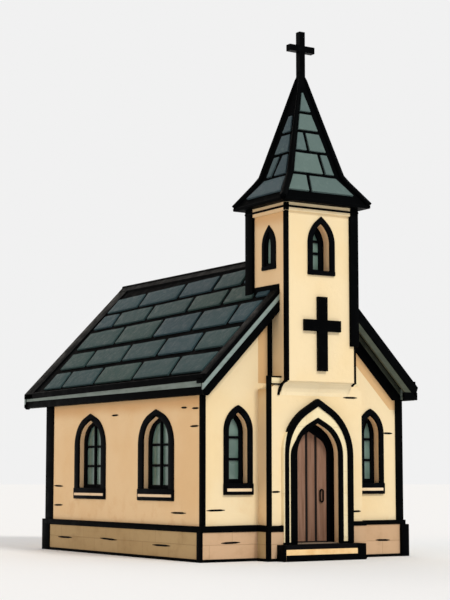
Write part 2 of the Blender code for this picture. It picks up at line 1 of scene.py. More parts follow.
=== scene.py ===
# A small country church: slates, leadwork, verge boards, window mouldings and the plank
# door, built around the solid model. Metres, +Z up, the door faces -Y.
import json
import random
from math import atan, copysign, cos, degrees, hypot, pi, radians, sin, tan

import bpy
from mathutils import Matrix, Vector

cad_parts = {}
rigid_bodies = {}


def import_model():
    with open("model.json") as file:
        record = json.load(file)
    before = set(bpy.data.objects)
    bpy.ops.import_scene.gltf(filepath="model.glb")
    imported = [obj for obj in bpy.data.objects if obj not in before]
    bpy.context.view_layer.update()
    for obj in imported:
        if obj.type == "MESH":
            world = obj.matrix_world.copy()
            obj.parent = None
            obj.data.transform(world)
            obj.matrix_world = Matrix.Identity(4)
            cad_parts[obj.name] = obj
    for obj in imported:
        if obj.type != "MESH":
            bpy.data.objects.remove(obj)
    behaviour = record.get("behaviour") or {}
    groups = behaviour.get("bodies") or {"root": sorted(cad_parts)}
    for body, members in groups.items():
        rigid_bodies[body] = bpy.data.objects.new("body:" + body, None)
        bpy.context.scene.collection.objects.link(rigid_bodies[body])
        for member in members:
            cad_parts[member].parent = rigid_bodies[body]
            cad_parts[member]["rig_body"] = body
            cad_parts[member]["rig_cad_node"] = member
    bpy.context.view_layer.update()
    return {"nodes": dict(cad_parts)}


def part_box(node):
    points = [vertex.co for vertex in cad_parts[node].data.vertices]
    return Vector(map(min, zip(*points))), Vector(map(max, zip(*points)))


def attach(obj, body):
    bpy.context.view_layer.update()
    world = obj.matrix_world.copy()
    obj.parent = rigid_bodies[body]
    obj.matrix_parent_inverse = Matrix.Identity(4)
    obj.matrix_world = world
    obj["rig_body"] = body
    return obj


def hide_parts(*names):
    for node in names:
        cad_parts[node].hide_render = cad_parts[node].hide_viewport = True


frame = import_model()
nodes = frame["nodes"]
random.seed(11)


# Faces of the solid model that pieces are set against
def edge(node, corner, axis):
    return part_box(node)[corner]["xyz".index(axis)]


wallSide = edge("wall_right", 1, "x")
wallFront = edge("wall_front_left", 0, "y")
wallBack = edge("wall_back", 1, "y")
baySide = edge("bay_head", 1, "x")
bayFront = edge("bay_head", 0, "y")
towerSide = edge("tower_wall_right", 1, "x")
towerFront = edge("tower_wall_front", 0, "y")
towerBack = edge("tower_wall_back", 1, "y")
towerMiddle = (towerFront + towerBack) / 2
surroundSide = edge("door_surround", 1, "x")
surroundFront = edge("door_surround", 0, "y")
plinthSide = edge("plinth_right", 1, "x")
plinthTop = edge("plinth_right", 1, "z")
ledge = plinthSide - wallSide
eavesFoot = edge("eaves_right", 0, "z")

# The slates' plane, from the ridge down to the eave
ridgeTop, eaveTop = 7.38, 4.20
roofReach = edge("roof_right", 1, "x")
roofFront = edge("roof_left", 0, "y")
roofBack = edge("roof_left", 1, "y")
roofAngle = atan((ridgeTop - eaveTop) / roofReach)
roofCos, roofSin, roofSlope = cos(roofAngle), sin(roofAngle), tan(roofAngle)
roofLength = roofReach / roofCos

hands = ((-1, "left"), (1, "right"))
bury = 0.01  # how far a piece is sunk into what carries it
skin = 0.004  # keeps one face just clear of another


# Modelling helpers
def deselect():
    bpy.ops.object.select_all(action="DESELECT")


def makeActive(piece):
    deselect()
    piece.select_set(True)
    bpy.context.view_layer.objects.active = piece


def named(name):
    piece = bpy.context.object
    piece.name = name
    piece.data.name = name
    return piece


def added(name, primitive, **settings):
    deselect()
    primitive(**settings)
    return named(name)


def settle(piece):
    # the piece's place goes into its mesh
    makeActive(piece)
    bpy.ops.object.transform_apply(location=True, rotation=True, scale=True)
    return piece


def block(name, corner, opposite):
    # the two corners may come in either order
    middle = [(a + b) / 2 for a, b in zip(corner, opposite)]
    piece = added(name, bpy.ops.mesh.primitive_cube_add, size=1, location=middle)
    piece.scale = [abs(b - a) for a, b in zip(corner, opposite)]
    return settle(piece)


def twins(name, corner, opposite):
    # a block on the right, and the same on the left
    return [block(f"{name}_{hand}", (side * corner[0], *corner[1:]), (side * opposite[0], *opposite[1:]))
            for side, hand in hands]


def shaped(piece, kind, **settings):
    makeActive(piece)
    modifier = piece.modifiers.new(kind.title(), kind)
    for key, value in settings.items():
        setattr(modifier, key, value)
    bpy.ops.object.modifier_apply(modifier=modifier.name)
    return piece


def soften(piece, width, segments=2):
    return shaped(piece, "BEVEL", width=width, segments=segments, limit_method="ANGLE",
                  angle_limit=radians(30))


def carved(piece, cutter, operation="DIFFERENCE"):
    return shaped(piece, "BOOLEAN", object=cutter, operation=operation, solver="EXACT")


def edit(piece):
    makeActive(piece)
    bpy.ops.object.mode_set(mode="EDIT")
    bpy.ops.mesh.select_mode(type="VERT")
    bpy.ops.mesh.select_all(action="SELECT")


def done():
    bpy.ops.object.mode_set(mode="OBJECT")


def pick(piece, test):
    # selects the points that pass a test on their place
    edit(piece)
    bpy.ops.mesh.select_all(action="DESELECT")
    done()
    for vertex in piece.data.vertices:
        vertex.select = test(vertex.co)
    bpy.ops.object.mode_set(mode="EDIT")


def nudge(piece, test, by):
    pick(piece, test)
    bpy.ops.transform.translate(value=by)
    done()


def divided(piece, cuts):
    edit(piece)
    bpy.ops.mesh.subdivide(number_cuts=cuts)
    done()


def trim(piece, point, normal):
    # takes off what lies beyond a plane, on the side that its normal points to
    edit(piece)
    bpy.ops.mesh.bisect(plane_co=point, plane_no=Vector(normal).normalized(), use_fill=True, clear_outer=True)
    done()
    return piece


def cutBelow(piece, height):
    # takes off what lies below a height
    return trim(piece, (0, 0, height), (0, 0, -1))


def cutBeyond(piece, side, reach):
    # takes off what lies further out than this
    return trim(piece, (side * reach, 0, 0), (side, 0, 0))


def cleaned(piece):
    edit(piece)
    bpy.ops.mesh.remove_doubles(threshold=0.0001)
    bpy.ops.mesh.normals_make_consistent(inside=False)
    done()
    return piece


def moved(piece, turn=(0, 0, 0), to=(0, 0, 0)):
    piece.rotation_euler = [radians(a) for a in turn]
    piece.location = to
    return settle(piece)


def placed(piece, matrix):
    piece.matrix_world = matrix
    return settle(piece)


def faceMatrix(along, up, out, origin):
    # from a slope's own axes to the building's
    matrix = Matrix((along, up, out)).transposed().to_4x4()
    matrix.translation = origin
    return matrix


def copied(pattern, name):
    makeActive(pattern)
    bpy.ops.object.duplicate()
    return named(name)


def nodeCopy(node, name):
    # a node's triangles are loose, so a copy is merged first
    piece = copied(nodes[node], name)
    piece.parent = None
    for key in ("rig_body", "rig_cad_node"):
        del piece[key]
    return cleaned(piece)


def joined(name, parts):
    deselect()
    for part in parts:
        part.select_set(True)
    bpy.context.view_layer.objects.active = parts[0]
    bpy.ops.object.join()
    return named(name)


def dropped(piece):
    bpy.data.objects.remove(piece)


def curve(name, points, dimensions):
    line = added(name, bpy.ops.curve.primitive_bezier_curve_add)
    line.data.splines.remove(line.data.splines[0])
    line.data.dimensions = dimensions
    spline = line.data.splines.new("POLY")
    spline.points.add(len(points) - 1)
    for point, place in zip(spline.points, points):
        point.co = (*place, 1)
    return line, spline


def meshed(line, name):
    makeActive(line)
    bpy.ops.object.convert(target="MESH")
    return named(name)


def tube(name, points, radii):
    line, spline = curve(name, points, "3D")
    for point, radius in zip(spline.points, radii):
        point.radius = radius
    line.data.bevel_depth = 1
    line.data.bevel_resolution = 4
    line.data.use_fill_caps = True
    return cleaned(meshed(line, name))


# Materials
class Socket:
    # a node's output, so that sums on it read as sums
    def __init__(self, finish, output):
        self.finish = finish
        self.output = output

    def __add__(self, other):
        return self.finish.maths("ADD", self, other)

    def __radd__(self, other):
        return self.finish.maths("ADD", other, self)

    def __mul__(self, other):
        return self.finish.maths("MULTIPLY", self, other)

    def __rmul__(self, other):
        return self.finish.maths("MULTIPLY", other, self)

    def __gt__(self, other):
        return self.finish.maths("GREATER_THAN", self, other)

    def __lt__(self, other):
        return self.finish.maths("LESS_THAN", self, other)


def colour(code):
    # a web colour as the linear values that the shader takes
    parts = [int(code[i:i + 2], 16) / 255 for i in (0, 2, 4)]
    linear = [p / 12.92 if p <= 0.04045 else ((p + 0.055) / 1.055) ** 2.4 for p in parts]
    return (*linear, 1)


class Finish:
    def __init__(self, name, roughness, metallic=0.0, coat=0.0, shine=0.5, bend=1.5):
        self.material = bpy.data.materials.new(name)
        self.material.use_nodes = True
        self.tree = self.material.node_tree
        self.shader = self.tree.nodes["Principled BSDF"]
        self.constant("Roughness", roughness)
        self.constant("Metallic", metallic)
        self.constant("Coat Weight", coat)
        self.constant("Coat Roughness", 0.1)
        self.constant("Specular IOR Level", shine)
        self.constant("IOR", bend)
        self.place = self.node("TexCoord", output="Object")

    def constant(self, name, value):
        self.shader.inputs[name].default_value = value

    def node(self, kind, settings=None, values=None, output=0):
        made = self.tree.nodes.new("ShaderNode" + kind)
        for key, value in (settings or {}).items():
            setattr(made, key, value)
        for key, value in (values or {}).items():
            if isinstance(value, Socket):
                self.tree.links.new(value.output, made.inputs[key])
            else:
                made.inputs[key].default_value = value
        return Socket(self, made.outputs[output])

    def maths(self, operation, *values):
        return self.node("Math", {"operation": operation}, dict(enumerate(values)))

    def axes(self):
        return [self.node("SeparateXYZ", {}, {0: self.place}, i) for i in range(3)]

    def noise(self, scale, detail, roughness=0.5, where=None):
        return self.node("TexNoise", {}, {"Vector": where or self.place, "Scale": scale,
                                          "Detail": detail, "Roughness": roughness})

    def spread(self, value, low, high, start=0.0, end=1.0):
        return self.node("MapRange", {"interpolation_type": "SMOOTHSTEP"},
                         {"Value": value, "From Min": low, "From Max": high, "To Min": start, "To Max": end})

    def mix(self, share, first, second, how="MIX"):
        settings = {"data_type": "RGBA", "blend_type": how}
        return self.node("Mix", settings, {0: share, 6: first, 7: second}, 2)

    def over(self, base, pattern, low, high, code, share=1.0):
        # a colour laid over the base where a pattern runs high
        return self.mix(self.spread(pattern, low, high, 0.0, share), base, colour(code))

    def sideways(self):
        # 1 on faces that look left or right, 0 on those that look to the front, back or up
        facing = self.node("TexCoord", output="Normal")
        across = self.node("SeparateXYZ", {}, {0: facing}, 0)
        return self.maths("ABSOLUTE", across) > 0.7

    def inside(self, low, high):
        # 1 inside a box, 0 outside it
        share = 1
        for axis, least, most in zip(self.axes(), low, high):
            share = (axis > least) * (axis < most) * share
        return share

    def paint(self, base, bumps, roughness=None):
        # each bump is a height and its depth in metres
        self.tree.links.new(base.output, self.shader.inputs["Base Color"])
        values = {"Strength": 1.0}
        for height, depth in bumps:
            values = {**values, "Height": height, "Distance": depth}
            values["Normal"] = self.node("Bump", {}, values)
        self.tree.links.new(values["Normal"].output, self.shader.inputs["Normal"])
        if roughness:
            self.tree.links.new(roughness.output, self.shader.inputs["Roughness"])
        return self.material


def renderFinish(name, low, high, eaves, shaded=None):
    # lime render, stained in patches towards the foot. The side walls' deeper, warmer tones are painted
    # shade, and so is the darker band under their eaves; the reveals, which lie inside the box, take a warm
    # pale tone that is painted light and shade; shaded places have the side walls' tones on every face
    # the front's tones, and the side walls' deeper tones, which are painted shade
    front = ("F4DFB6", "F2D9AA", "ECCB98")
    side = ("ECCFA2", "E7C594", "DAB07C")
    reveal, eavesShadeTone = "FFD6A4", "CE9B5F"
    finish = Finish(name, 0.9, shine=0.3)
    x, _, z = finish.axes()
    broad = finish.noise(0.45, 3, 0.55)
    patch = finish.noise(2.1, 5, 0.62)
    # the faces that take the side walls' tones, painted shade: those that look left or right, and the shaded
    # places
    facing = finish.sideways()
    if shaded:
        under = finish.inside(*shaded["underVerge"]) * (z + x * roofSlope > shaded["vergeLine"])
        facing = finish.maths("MAXIMUM", facing, finish.inside(*shaded["besideTower"]))
        facing = finish.maths("MAXIMUM", facing, under)
    lowDown = finish.spread(z, 2.2, 0.6)
    tones = []
    for wall, patched, stain in (front, side):
        base = finish.over(colour(wall), broad, 0.42, 0.68, patched)
        base = finish.mix(lowDown * finish.spread(patch, 0.50, 0.64, 0.0, 0.35), base, colour(stain))
        tones.append(finish.over(base, patch, 0.60, 0.78, stain, 0.20))
    base = finish.mix(facing, *tones)
    # painted shade under the eaves, on the faces that take the side walls' tones
    eavesShade = finish.spread(z + finish.noise(0.8, 3) * 0.25, eaves - 0.22, eaves + 0.10, 0.0, 0.55)
    base = finish.mix(eavesShade * facing, base, colour(eavesShadeTone))
    # the reveals' warm pale tone: painted light and shade for the recesses
    base = finish.mix(finish.inside(low, high), base, colour(reveal))
    return finish.paint(base, [(finish.noise(5, 3), 0.012), (finish.noise(70, 3, 0.7), 0.004)])


def stoneFinish(name, tones, course=0.52, long=0.9, blocks=0.2, sides=None):
    # coursed stone: each block a little off its neighbours, with fine joints; given sides, the faces that
    # look left or right are darkened by it, painted shade
    finish = Finish(name, 0.88, shine=0.3)
    x, y, z = finish.axes()
    along = finish.node("CombineXYZ", {}, {0: x + y, 1: z})
    base, other, grout = [colour(tone) for tone in tones]
    brick = {"Vector": along, "Color1": base, "Color2": other, "Mortar": grout, "Mortar Size": 0.009,
             "Mortar Smooth": 0.3, "Scale": 1.0, "Bias": 0.0, "Brick Width": long, "Row Height": course}
    coursed = finish.node("TexBrick", {"offset": 0.5}, brick)
    joint = finish.node("TexBrick", {"offset": 0.5}, brick, "Fac")
    cloud = finish.noise(1.7, 5, 0.6)
    speck = finish.noise(38, 4, 0.7)
    base = finish.mix(blocks, base, coursed)
    base = finish.over(base, cloud, 0.45, 0.75, tones[2], 0.5)
    base = finish.over(base, speck, 0.62, 0.80, tones[2], 0.3)
    # painted shade: the side faces multiplied by the sides tone
    if sides:
        base = finish.mix(finish.sideways(), base, finish.mix(1.0, base, colour(sides), "MULTIPLY"))
    return finish.paint(base, [(joint * -0.5, 0.008), (cloud, 0.015), (speck, 0.005)])


def slateFinish(name, blue, green, pale):
    # each slate's own tone is in its "tone" attribute; on the spire it holds painted light on the front and
    # back faces and painted shade on the sides
    finish = Finish(name, 0.55, shine=0.12, bend=1.2)
    tone = finish.node("Attribute", {"attribute_name": "tone"}, {}, "Fac")
    riven = finish.noise(7, 6, 0.65)
    fine = finish.noise(42, 4, 0.7)
    base = finish.mix(tone, colour(blue), colour(green))
    base = finish.over(base, riven, 0.50, 0.72, pale, 0.25)
    base = finish.over(base, fine, 0.60, 0.80, "1F282C", 0.25)
    rough = finish.spread(riven, 0.30, 0.70, 0.42, 0.68)
    return finish.paint(base, [(riven, 0.020), (fine, 0.004)], rough)


def darkFinish(name, roughness, metallic=0.0, tone="040506", worn="0D0F11"):
    # near black lead, iron or paint, greyer where the weather has caught it
    finish = Finish(name, roughness, metallic, shine=0.10, bend=1.15)
    cloud = finish.noise(3.5, 5, 0.6)
    pits = finish.noise(60, 3, 0.6)
    base = finish.over(colour(tone), cloud, 0.50, 0.80, worn, 0.6)
    rough = finish.spread(cloud, 0.30, 0.75, roughness - 0.08, roughness + 0.15)
    return finish.paint(base, [(cloud, 0.006), (pits, 0.002)], rough)


def woodFinish(name, tones, stretch, toned=False):
    # long grain, with the boards' own tones where they have them
    finish = Finish(name, 0.6, shine=0.25, bend=1.35)
    where = finish.node("VectorMath", {"operation": "MULTIPLY"}, {0: finish.place, 1: stretch})
    grain = finish.noise(1.0, 6, 0.65, where)
    broad = finish.noise(0.25, 2, 0.5, where)
    fibres = finish.noise(3.5, 4, 0.7, where)
    base = finish.over(colour(tones[0]), grain, 0.35, 0.70, tones[1])
    base = finish.over(base, broad, 0.52, 0.72, tones[2], 0.4)
    if toned:
        tone = finish.node("Attribute", {"attribute_name": "tone"}, {}, "Fac")
        base = finish.mix(tone * 0.45, base, colour(tones[2]))
    rough = finish.spread(grain, 0.30, 0.70, 0.70, 0.52)
    return finish.paint(base, [(grain, 0.006), (fibres, 0.002)], rough)


def glassFinish(name):
    # old glass over a dark room: grey-green, a little uneven, with paler drifts and ripples that are painted
    # sheen
    finish = Finish(name, 0.16, coat=0.5)
    drift = finish.noise(1.3, 2, 0.5)
    ripple = finish.noise(6, 2, 0.5)
    # the paler drifts and ripples are painted sheen
    base = finish.over(colour("567068"), drift, 0.38, 0.64, "6F8A82")
    base = finish.over(base, ripple, 0.60, 0.80, "869C93", 0.3)
    return finish.paint(base, [(ripple, 0.004)])


def stepFinish(name, edgeLow, edgeHigh):
    # dressed stone with the nosing's edge tarred
    finish = Finish(name, 0.8, shine=0.1, bend=1.2)
    z = finish.axes()[2]
    cloud = finish.noise(3.0, 5, 0.6)
    speck = finish.noise(45, 3, 0.7)
    base = finish.over(colour("F4D29C"), cloud, 0.40, 0.70, "E8BE84")
    base = finish.over(base, speck, 0.60, 0.80, "CDA56E", 0.3)
    base = finish.mix((z > edgeLow) * (z < edgeHigh), base, colour("0D0D0F"))
    return finish.paint(base, [(cloud, 0.006), (speck, 0.003)])


def wallBox(side, front, back, low, high):
    # the box just inside a part's wall faces, which holds its reveals, whose warm pale tone is painted light
    # and shade
    return (-side + skin, front + skin, low), (side - skin, back - skin, high)


# Painted shade on the gable, in the side walls' tones: a strip beside the tower, and a band under the right
# verge
naveShade = {
    "besideTower": ((-1.35, wallFront - 0.02, 4.15), (-1.0, wallFront + 0.02, 6.4)),
    "underVerge": ((1.0, wallFront - 0.02, 3.6), (wallSide, wallFront + 0.02, 6.4)),
    "vergeLine": ridgeTop - 1.12,
}
alongBoards, upPlanks, acrossFloor = (3, 3, 14), (16, 16, 1.2), (1.5, 14, 14)
finishes = {
    "nave": renderFinish("naveRender", *wallBox(wallSide, wallFront, wallBack, 0.9, 3.7), 3.74, naveShade),
    "bay": renderFinish("bayRender", (-0.67, bayFront + skin, 0.3), (0.67, 0.0, 3.5), 4.1),
    "tower": renderFinish("towerRender", *wallBox(towerSide, towerFront, towerBack, 6.6, 8.1), 8.2),
    "plinth": stoneFinish("plinthStone", ("CFAD8B", "C6A27D", "AD8964"), 0.39, 1.25, 0.5, "DFE8D4"),
    "dressed": stoneFinish("dressedStone", ("F7E8BF", "F4E1B2", "E2C896"), blocks=0.35),
    # the cove under the tower is paler than the walls: painted light that lifts the shade on its underside
    "cove": stoneFinish("coveStonePaintedLight", ("F8E6C0", "F6E2B8", "EFD6A8")),
    "cornice": stoneFinish("corniceStone", ("F4DFB6", "F2DAAC", "EACB98"), sides="F7ECE3"),
    "sill": stoneFinish("sillStone", ("F2DAB8", "EED3AE", "DDBE94"), 0.5, 0.8),
    "flags": stoneFinish("floorFlags", ("8C7A68", "7F6E5E", "5D5045"), 0.6, 0.9, 0.5),
    "slate": slateFinish("roofSlate", "33474F", "374B48", "4A5F63"),
    # the spire's pale tone is painted light on its front and back faces, and its dark tone painted shade on
    # its sides
    "spireSlate": slateFinish("spireSlate", "44555D", "647773", "7E918C"),
    "underslate": darkFinish("underslate", 0.75),
    "lead": darkFinish("darkLead", 0.50),
    "iron": darkFinish("blackIron", 0.45, 0.3),
    "frame": darkFinish("windowPaint", 0.42, 0.0, "06070A", "101317"),
    "board": woodFinish("greyBoard", ("7C8A86", "6C7A75", "56625D"), alongBoards),
    "verge": woodFinish("vergeBoard", ("8A9A97", "7E8E8A", "68766F"), alongBoards),
    # a darker olive copy of the verge boards' grey, for the right verge board and its frieze: painted shade
    "paintedShadeVerge": woodFinish("paintedShadeVergeBoard", ("4C5145", "444A3F", "3A4036"), alongBoards),
    "planks": woodFinish("doorPlanks", ("9B7966", "85634F", "6B4D3D"), upPlanks, toned=True),
    "leaf": woodFinish("leafTimber", ("17110E", "120D0B", "0C0907"), upPlanks),
    "timber": woodFinish("floorTimber", ("6B4E38", "5A402D", "463022"), acrossFloor),
    "glass": glassFinish("oldGlass"),
    "step": stepFinish("stepStone", 0.275, 0.39),
}
print("materials made:", len(finishes))


def coat(piece, finish):
    piece.data.materials.clear()
    piece.data.materials.append(finishes[finish])


def dress(piece, finish="lead", body="building"):
    coat(piece, finish)
    makeActive(piece)
    bpy.ops.object.shade_smooth_by_angle(angle=radians(35))
    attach(piece, body)
    return piece


def leaded(name, parts, width, segments=2):
    return dress(soften(joined(name, parts), width, segments))


# A node takes the last finish here whose words its name starts with
nodeFinishes = {
    "nave": ("wall_", "lobby_arch"),
    "bay": ("bay_",),
    "tower": ("tower_wall_",),
    "cove": ("tower_corbel",),
    "cornice": ("tower_cornice",),
    "plinth": ("plinth_",),
    "dressed": ("door_surround",),
    "step": ("door_step",),
    "flags": ("floor",),
    "timber": ("belfry_floor",),
    "underslate": ("roof_", "spire"),
    "lead": ("ridge_cap", "spire_eaves"),
    "iron": ("spire_cross", "tower_cross", "door_handle"),
    "verge": ("bargeboard_",),
    "paintedShadeVerge": ("bargeboard_front_right",),
    "board": ("eaves_",),
    "frame": ("door_frame", "window_"),
    "glass": ("glass_",),
    "leaf": ("door_leaf",),
}
for finish, starts in nodeFinishes.items():
    for name, node in nodes.items():
        if name.startswith(starts):
            coat(node, finish)
print("nodes coated:", len(nodes))


# Slates
slates = {
    "thick": 0.030,
    "lift": 0.016,
    "jointGap": 0.17,
    "slant": 0.21,
    "fan": 0.008,
    "tilt": 0.012,
    "front": 0.35,
    "backFoot": 1.06,
    "backHead": 0.46,
    "riven": 0.022,
    "towerGap": 0.04,
}
naveFoot = roofFront + slates["front"]

# Shares of the slope at each course's foot and head, and the joints' places behind the gable
naveCourses = (
    (0.041, 0.184, (1.41, 3.25, 5.26, 7.07)),
    (0.226, 0.370, (1.29, 3.04, 4.82, 6.77)),
    (0.415, 0.573, (0.73, 2.36, 4.23, 6.24)),
    (0.612, 0.742, (0.52, 1.92, 3.56, 5.60, 7.38)),
    (0.775, 0.912, (1.76, 3.12, 4.79, 6.84)),
)


def setTone(piece, tone):
    attribute = piece.data.attributes.new("tone", "FLOAT", "POINT")
    attribute.data.foreach_set("value", [tone] * len(piece.data.vertices))


def slate(name, left, right, low, high, tone, slant):
    # lies flat with its foot at "low": the foot is thicker and the head tucks under
    middle = (low + high) / 2
    piece = block(name, (left, low, -skin), (right, high, slates["thick"]))
    nudge(piece, lambda co: co.y > middle, (slant, 0, 0))
    nudge(piece, lambda co: co.z > 0.01 and co.y < middle, (0, 0, slates["lift"]))
    divided(piece, 4)
    setTone(piece, tone)
    return piece


def riven(piece):
    cleaned(piece)
    texture = bpy.data.textures.new("riven" + piece.name, "CLOUDS")
    texture.noise_scale = 0.35
    texture.noise_depth = 2
    shaped(piece, "DISPLACE", texture=texture, strength=slates["riven"], texture_coords="LOCAL")
    return soften(piece, 0.008)


def naveSlates(side, hand):
    # local X runs along the eave, local Y up the slope
    name = f"slates_{hand}"
    tower = towerBack - naveFoot + slates["towerGap"]
    beside = (roofReach - towerSide) / roofCos - slates["towerGap"]
    span = roofBack - slates["backFoot"] - naveFoot
    lean = slates["backFoot"] - slates["backHead"]
    parts = []
    for number, (foot, head, joints) in enumerate(naveCourses, 1):
        low, high = foot * roofLength, head * roofLength
        start = 0.0 if low < beside else tower
        ends = [start, *(wallFront + joint - naveFoot for joint in joints), span + lean + 0.1]
        for left, right in zip(ends, ends[1:]):
            near = left + (slates["jointGap"] / 2 if left > start else 0.0)
            far = right - slates["jointGap"] / 2
            tone = random.random()
            part = slate(f"{name}_{number}_{len(parts)}", near, far, low, high, tone, slates["slant"])
            if left == start:
                # squared off at the verge or the tower
                for vertex in part.data.vertices:
                    share = (vertex.co.y - low) / (high - low)
                    across = (vertex.co.x - near - slates["slant"] * share) / (far - near)
                    vertex.co.x -= slates["slant"] * share * (1 - across)
            trim(part, (span, 0, 0), (roofLength, -lean, 0))
            if near < tower and high > beside:
                notch = block("notch", (-1.0, beside, -1.0), (tower, roofLength, 1.0))
                carved(part, notch)
                dropped(notch)
            parts.append(part)
    piece = joined(name, parts)
    # the courses draw together towards the back
    for vertex in piece.data.vertices:
        vertex.co.y += (slates["fan"] * vertex.co.y + slates["tilt"]) * (span / 2 - vertex.co.x)
    if side < 0:
        # seen from outside, the front is on the other hand
        pick(piece, lambda co: True)
        bpy.ops.transform.mirror(constraint_axis=(True, False, False), center_override=(0, 0, 0))
        done()
    matrix = faceMatrix((0, side, 0), (-side * roofCos, 0, roofSin), (side * roofSin, 0, roofCos),
                        (side * roofReach, naveFoot, eaveTop))
    dress(riven(placed(piece, matrix)), "slate")


for side, hand in hands:
    naveSlates(side, hand)
print("nave slates laid")

# Each ring has a height and its half widths, and the hips' radii are those at the rings
spire = {
    "rings": ((8.48, 1.27, 1.07), (9.16, 0.765, 0.635), (11.62, 0.085, 0.085)),
    "nearHip": (0.085, 0.085, 0.030),
    "farHip": (0.075, 0.075, 0.040),
    "capFoot": 11.22,
    "capHigh": 0.62,
    "capRadii": (0.22, 0.095),
    "knop": 0.09,
    "drip": (8.425, 8.50),
    "dripProud": 0.02,
    "dripDeep": 0.08,
}
spireTop = spire["capFoot"] + spire["capHigh"]

# Each course's part of the spire, foot and head
spireCourses = ((0, 8.70, 9.13), (1, 9.22, 9.71), (1, 9.79, 10.24), (1, 10.32, 10.73), (1, 10.81, 11.29))

# The slates' tone and how far it varies, the gap at their joints, and how far the courses lie lower. The
# front and back faces take a paler tone, painted light, and the sides a darker one, painted shade
paintedLightSlates = {"tone": 0.80, "vary": 0.20, "gap": 0.10, "drop": 0.0}
paintedShadeSlates = {"tone": 0.15, "vary": 0.15, "gap": 0.15, "drop": 0.035}

# From the front face round to the left one: margins at the left and right hips, and each course's
# joint: its share of the foot from the left and its slant
spireFaces = (
    (paintedLightSlates, (0.08, 0.235), ((0.32, 0.12), (0.65, -0.08), (0.365, -0.04), None, None)),
    (paintedShadeSlates, (0.10, 0.10), (None, (0.57, -0.16), None, None, None)),
    (paintedLightSlates, (0.10, 0.10), ((0.68, -0.12), (0.35, 0.08), (0.635, 0.04), None, None)),
    (paintedShadeSlates, (0.30, 0.15), (None, (0.43, 0.16), None, None)),
)


def spireFace(quarter):
    # a face's slates: local X runs to the right along its foot, local Y up it
    face, margins, joints = spireFaces[quarter]
    turn = Matrix.Rotation(radians(90 * quarter), 4, "Z")
    shift = Matrix.Translation((0, towerMiddle, 0))
    parts = []
    for (part, footZ, headZ), joint in zip(spireCourses, joints):
        (z0, x0, y0), (z1, x1, y1) = spire["rings"][part:part + 2]
        half0, half1, out0, out1 = (y0, y1, x0, x1) if quarter % 2 else (x0, x1, y0, y1)
        length = hypot(z1 - z0, out0 - out1)
        lean, upright = (out0 - out1) / length, (z1 - z0) / length
        low, high = (footZ - face["drop"] - z0) / upright, (headZ - face["drop"] - z0) / upright
        footHalf = half0 + (half1 - half0) * low / length
        ends = [-footHalf, footHalf]
        slant = 0.0
        if joint:
            ends.insert(1, footHalf * (2 * joint[0] - 1))
            slant = joint[1]
        matrix = faceMatrix((1, 0, 0), (0, lean, upright), (0, -upright, lean), (0, -out0, z0))
        for left, right in zip(ends, ends[1:]):
            near = left + (face["gap"] / 2 if left > -footHalf else 0.0)
            far = right - (face["gap"] / 2 if right < footHalf else 0.0)
            tone = face["tone"] + random.uniform(-face["vary"], face["vary"])
            one = slate(f"spire_slate_{quarter}_{len(parts)}", near, far, low, high, tone, slant)
            for (side, _), margin in zip(hands, margins):
                trim(one, (side * (half0 - margin), 0, 0), (side * length, half0 - half1, 0))
            parts.append(placed(one, shift @ turn @ matrix))
    return parts


parts = []
for quarter in range(4):
    parts += spireFace(quarter)
dress(riven(joined("slates_spire", parts)), "spireSlate")

hips = []
for right in (-1, 1):
    for back in (-1, 1):
        points = [(right * x, towerMiddle + back * y, z + 0.02) for z, x, y in spire["rings"]]
        foot, middle, top = [Vector(point) for point in points]
        eased = middle + Vector((-right * 0.004, -back * 0.004, 0.03))
        tip = Vector((right * 0.03, towerMiddle + back * 0.03, spireTop))
        line = [foot, foot.lerp(middle, 0.4), foot.lerp(middle, 0.8), eased, middle.lerp(top, 0.08),
                middle.lerp(top, 0.5), top, tip]
        low, bend, high = spire["nearHip" if right + back == -2 else "farHip"]
        radii = (low, low, bend, bend, bend, (bend + high) / 2, high, high / 2)
        hips.append(tube(f"hip_{right}_{back}", line, radii))
dress(joined("spire_hips", hips))

cap = added("spire_cap", bpy.ops.mesh.primitive_cone_add, vertices=4, radius1=spire["capRadii"][0],
            radius2=spire["capRadii"][1], depth=spire["capHigh"], rotation=(0, 0, radians(45)),
            location=(0, towerMiddle, spire["capFoot"] + spire["capHigh"] / 2))
soften(settle(cap), 0.02, 3)
knop = added("spire_knop", bpy.ops.mesh.primitive_uv_sphere_add, segments=24, ring_count=12,
             radius=spire["knop"], scale=(1, 1, 0.7), location=(0, towerMiddle, spireTop))
dress(joined("spire_cap", [cap, settle(knop)]))


def fourSided(name, halfX, halfY, deep, foot, top):
    # a strip along each side of the tower, out to these half widths
    strips = []
    for turn in range(4):
        half, out = ((halfX, halfY), (halfY, halfX))[turn % 2]
        strip = block(f"{name}_{turn}", (-half, -out, foot), (half, -out + deep, top))
        strips.append(moved(strip, (0, 0, 90 * turn), (0, towerMiddle, 0)))
    return joined(name, strips)


x, y = [half + spire["dripProud"] for half in spire["rings"][0][1:]]
dress(soften(fourSided("spire_drip", x, y, spire["dripDeep"], *spire["drip"]), 0.015, 3))
print("spire slated")


# Ridge and verges. The drops are measured upright below the slates' line
ridge = {"middle": 7.40, "radius": 0.05}
line = [(0, y + bury, ridge["middle"]) for y in (towerBack, roofBack)]
dress(tube("ridge_roll", line, [ridge["radius"]] * 2))

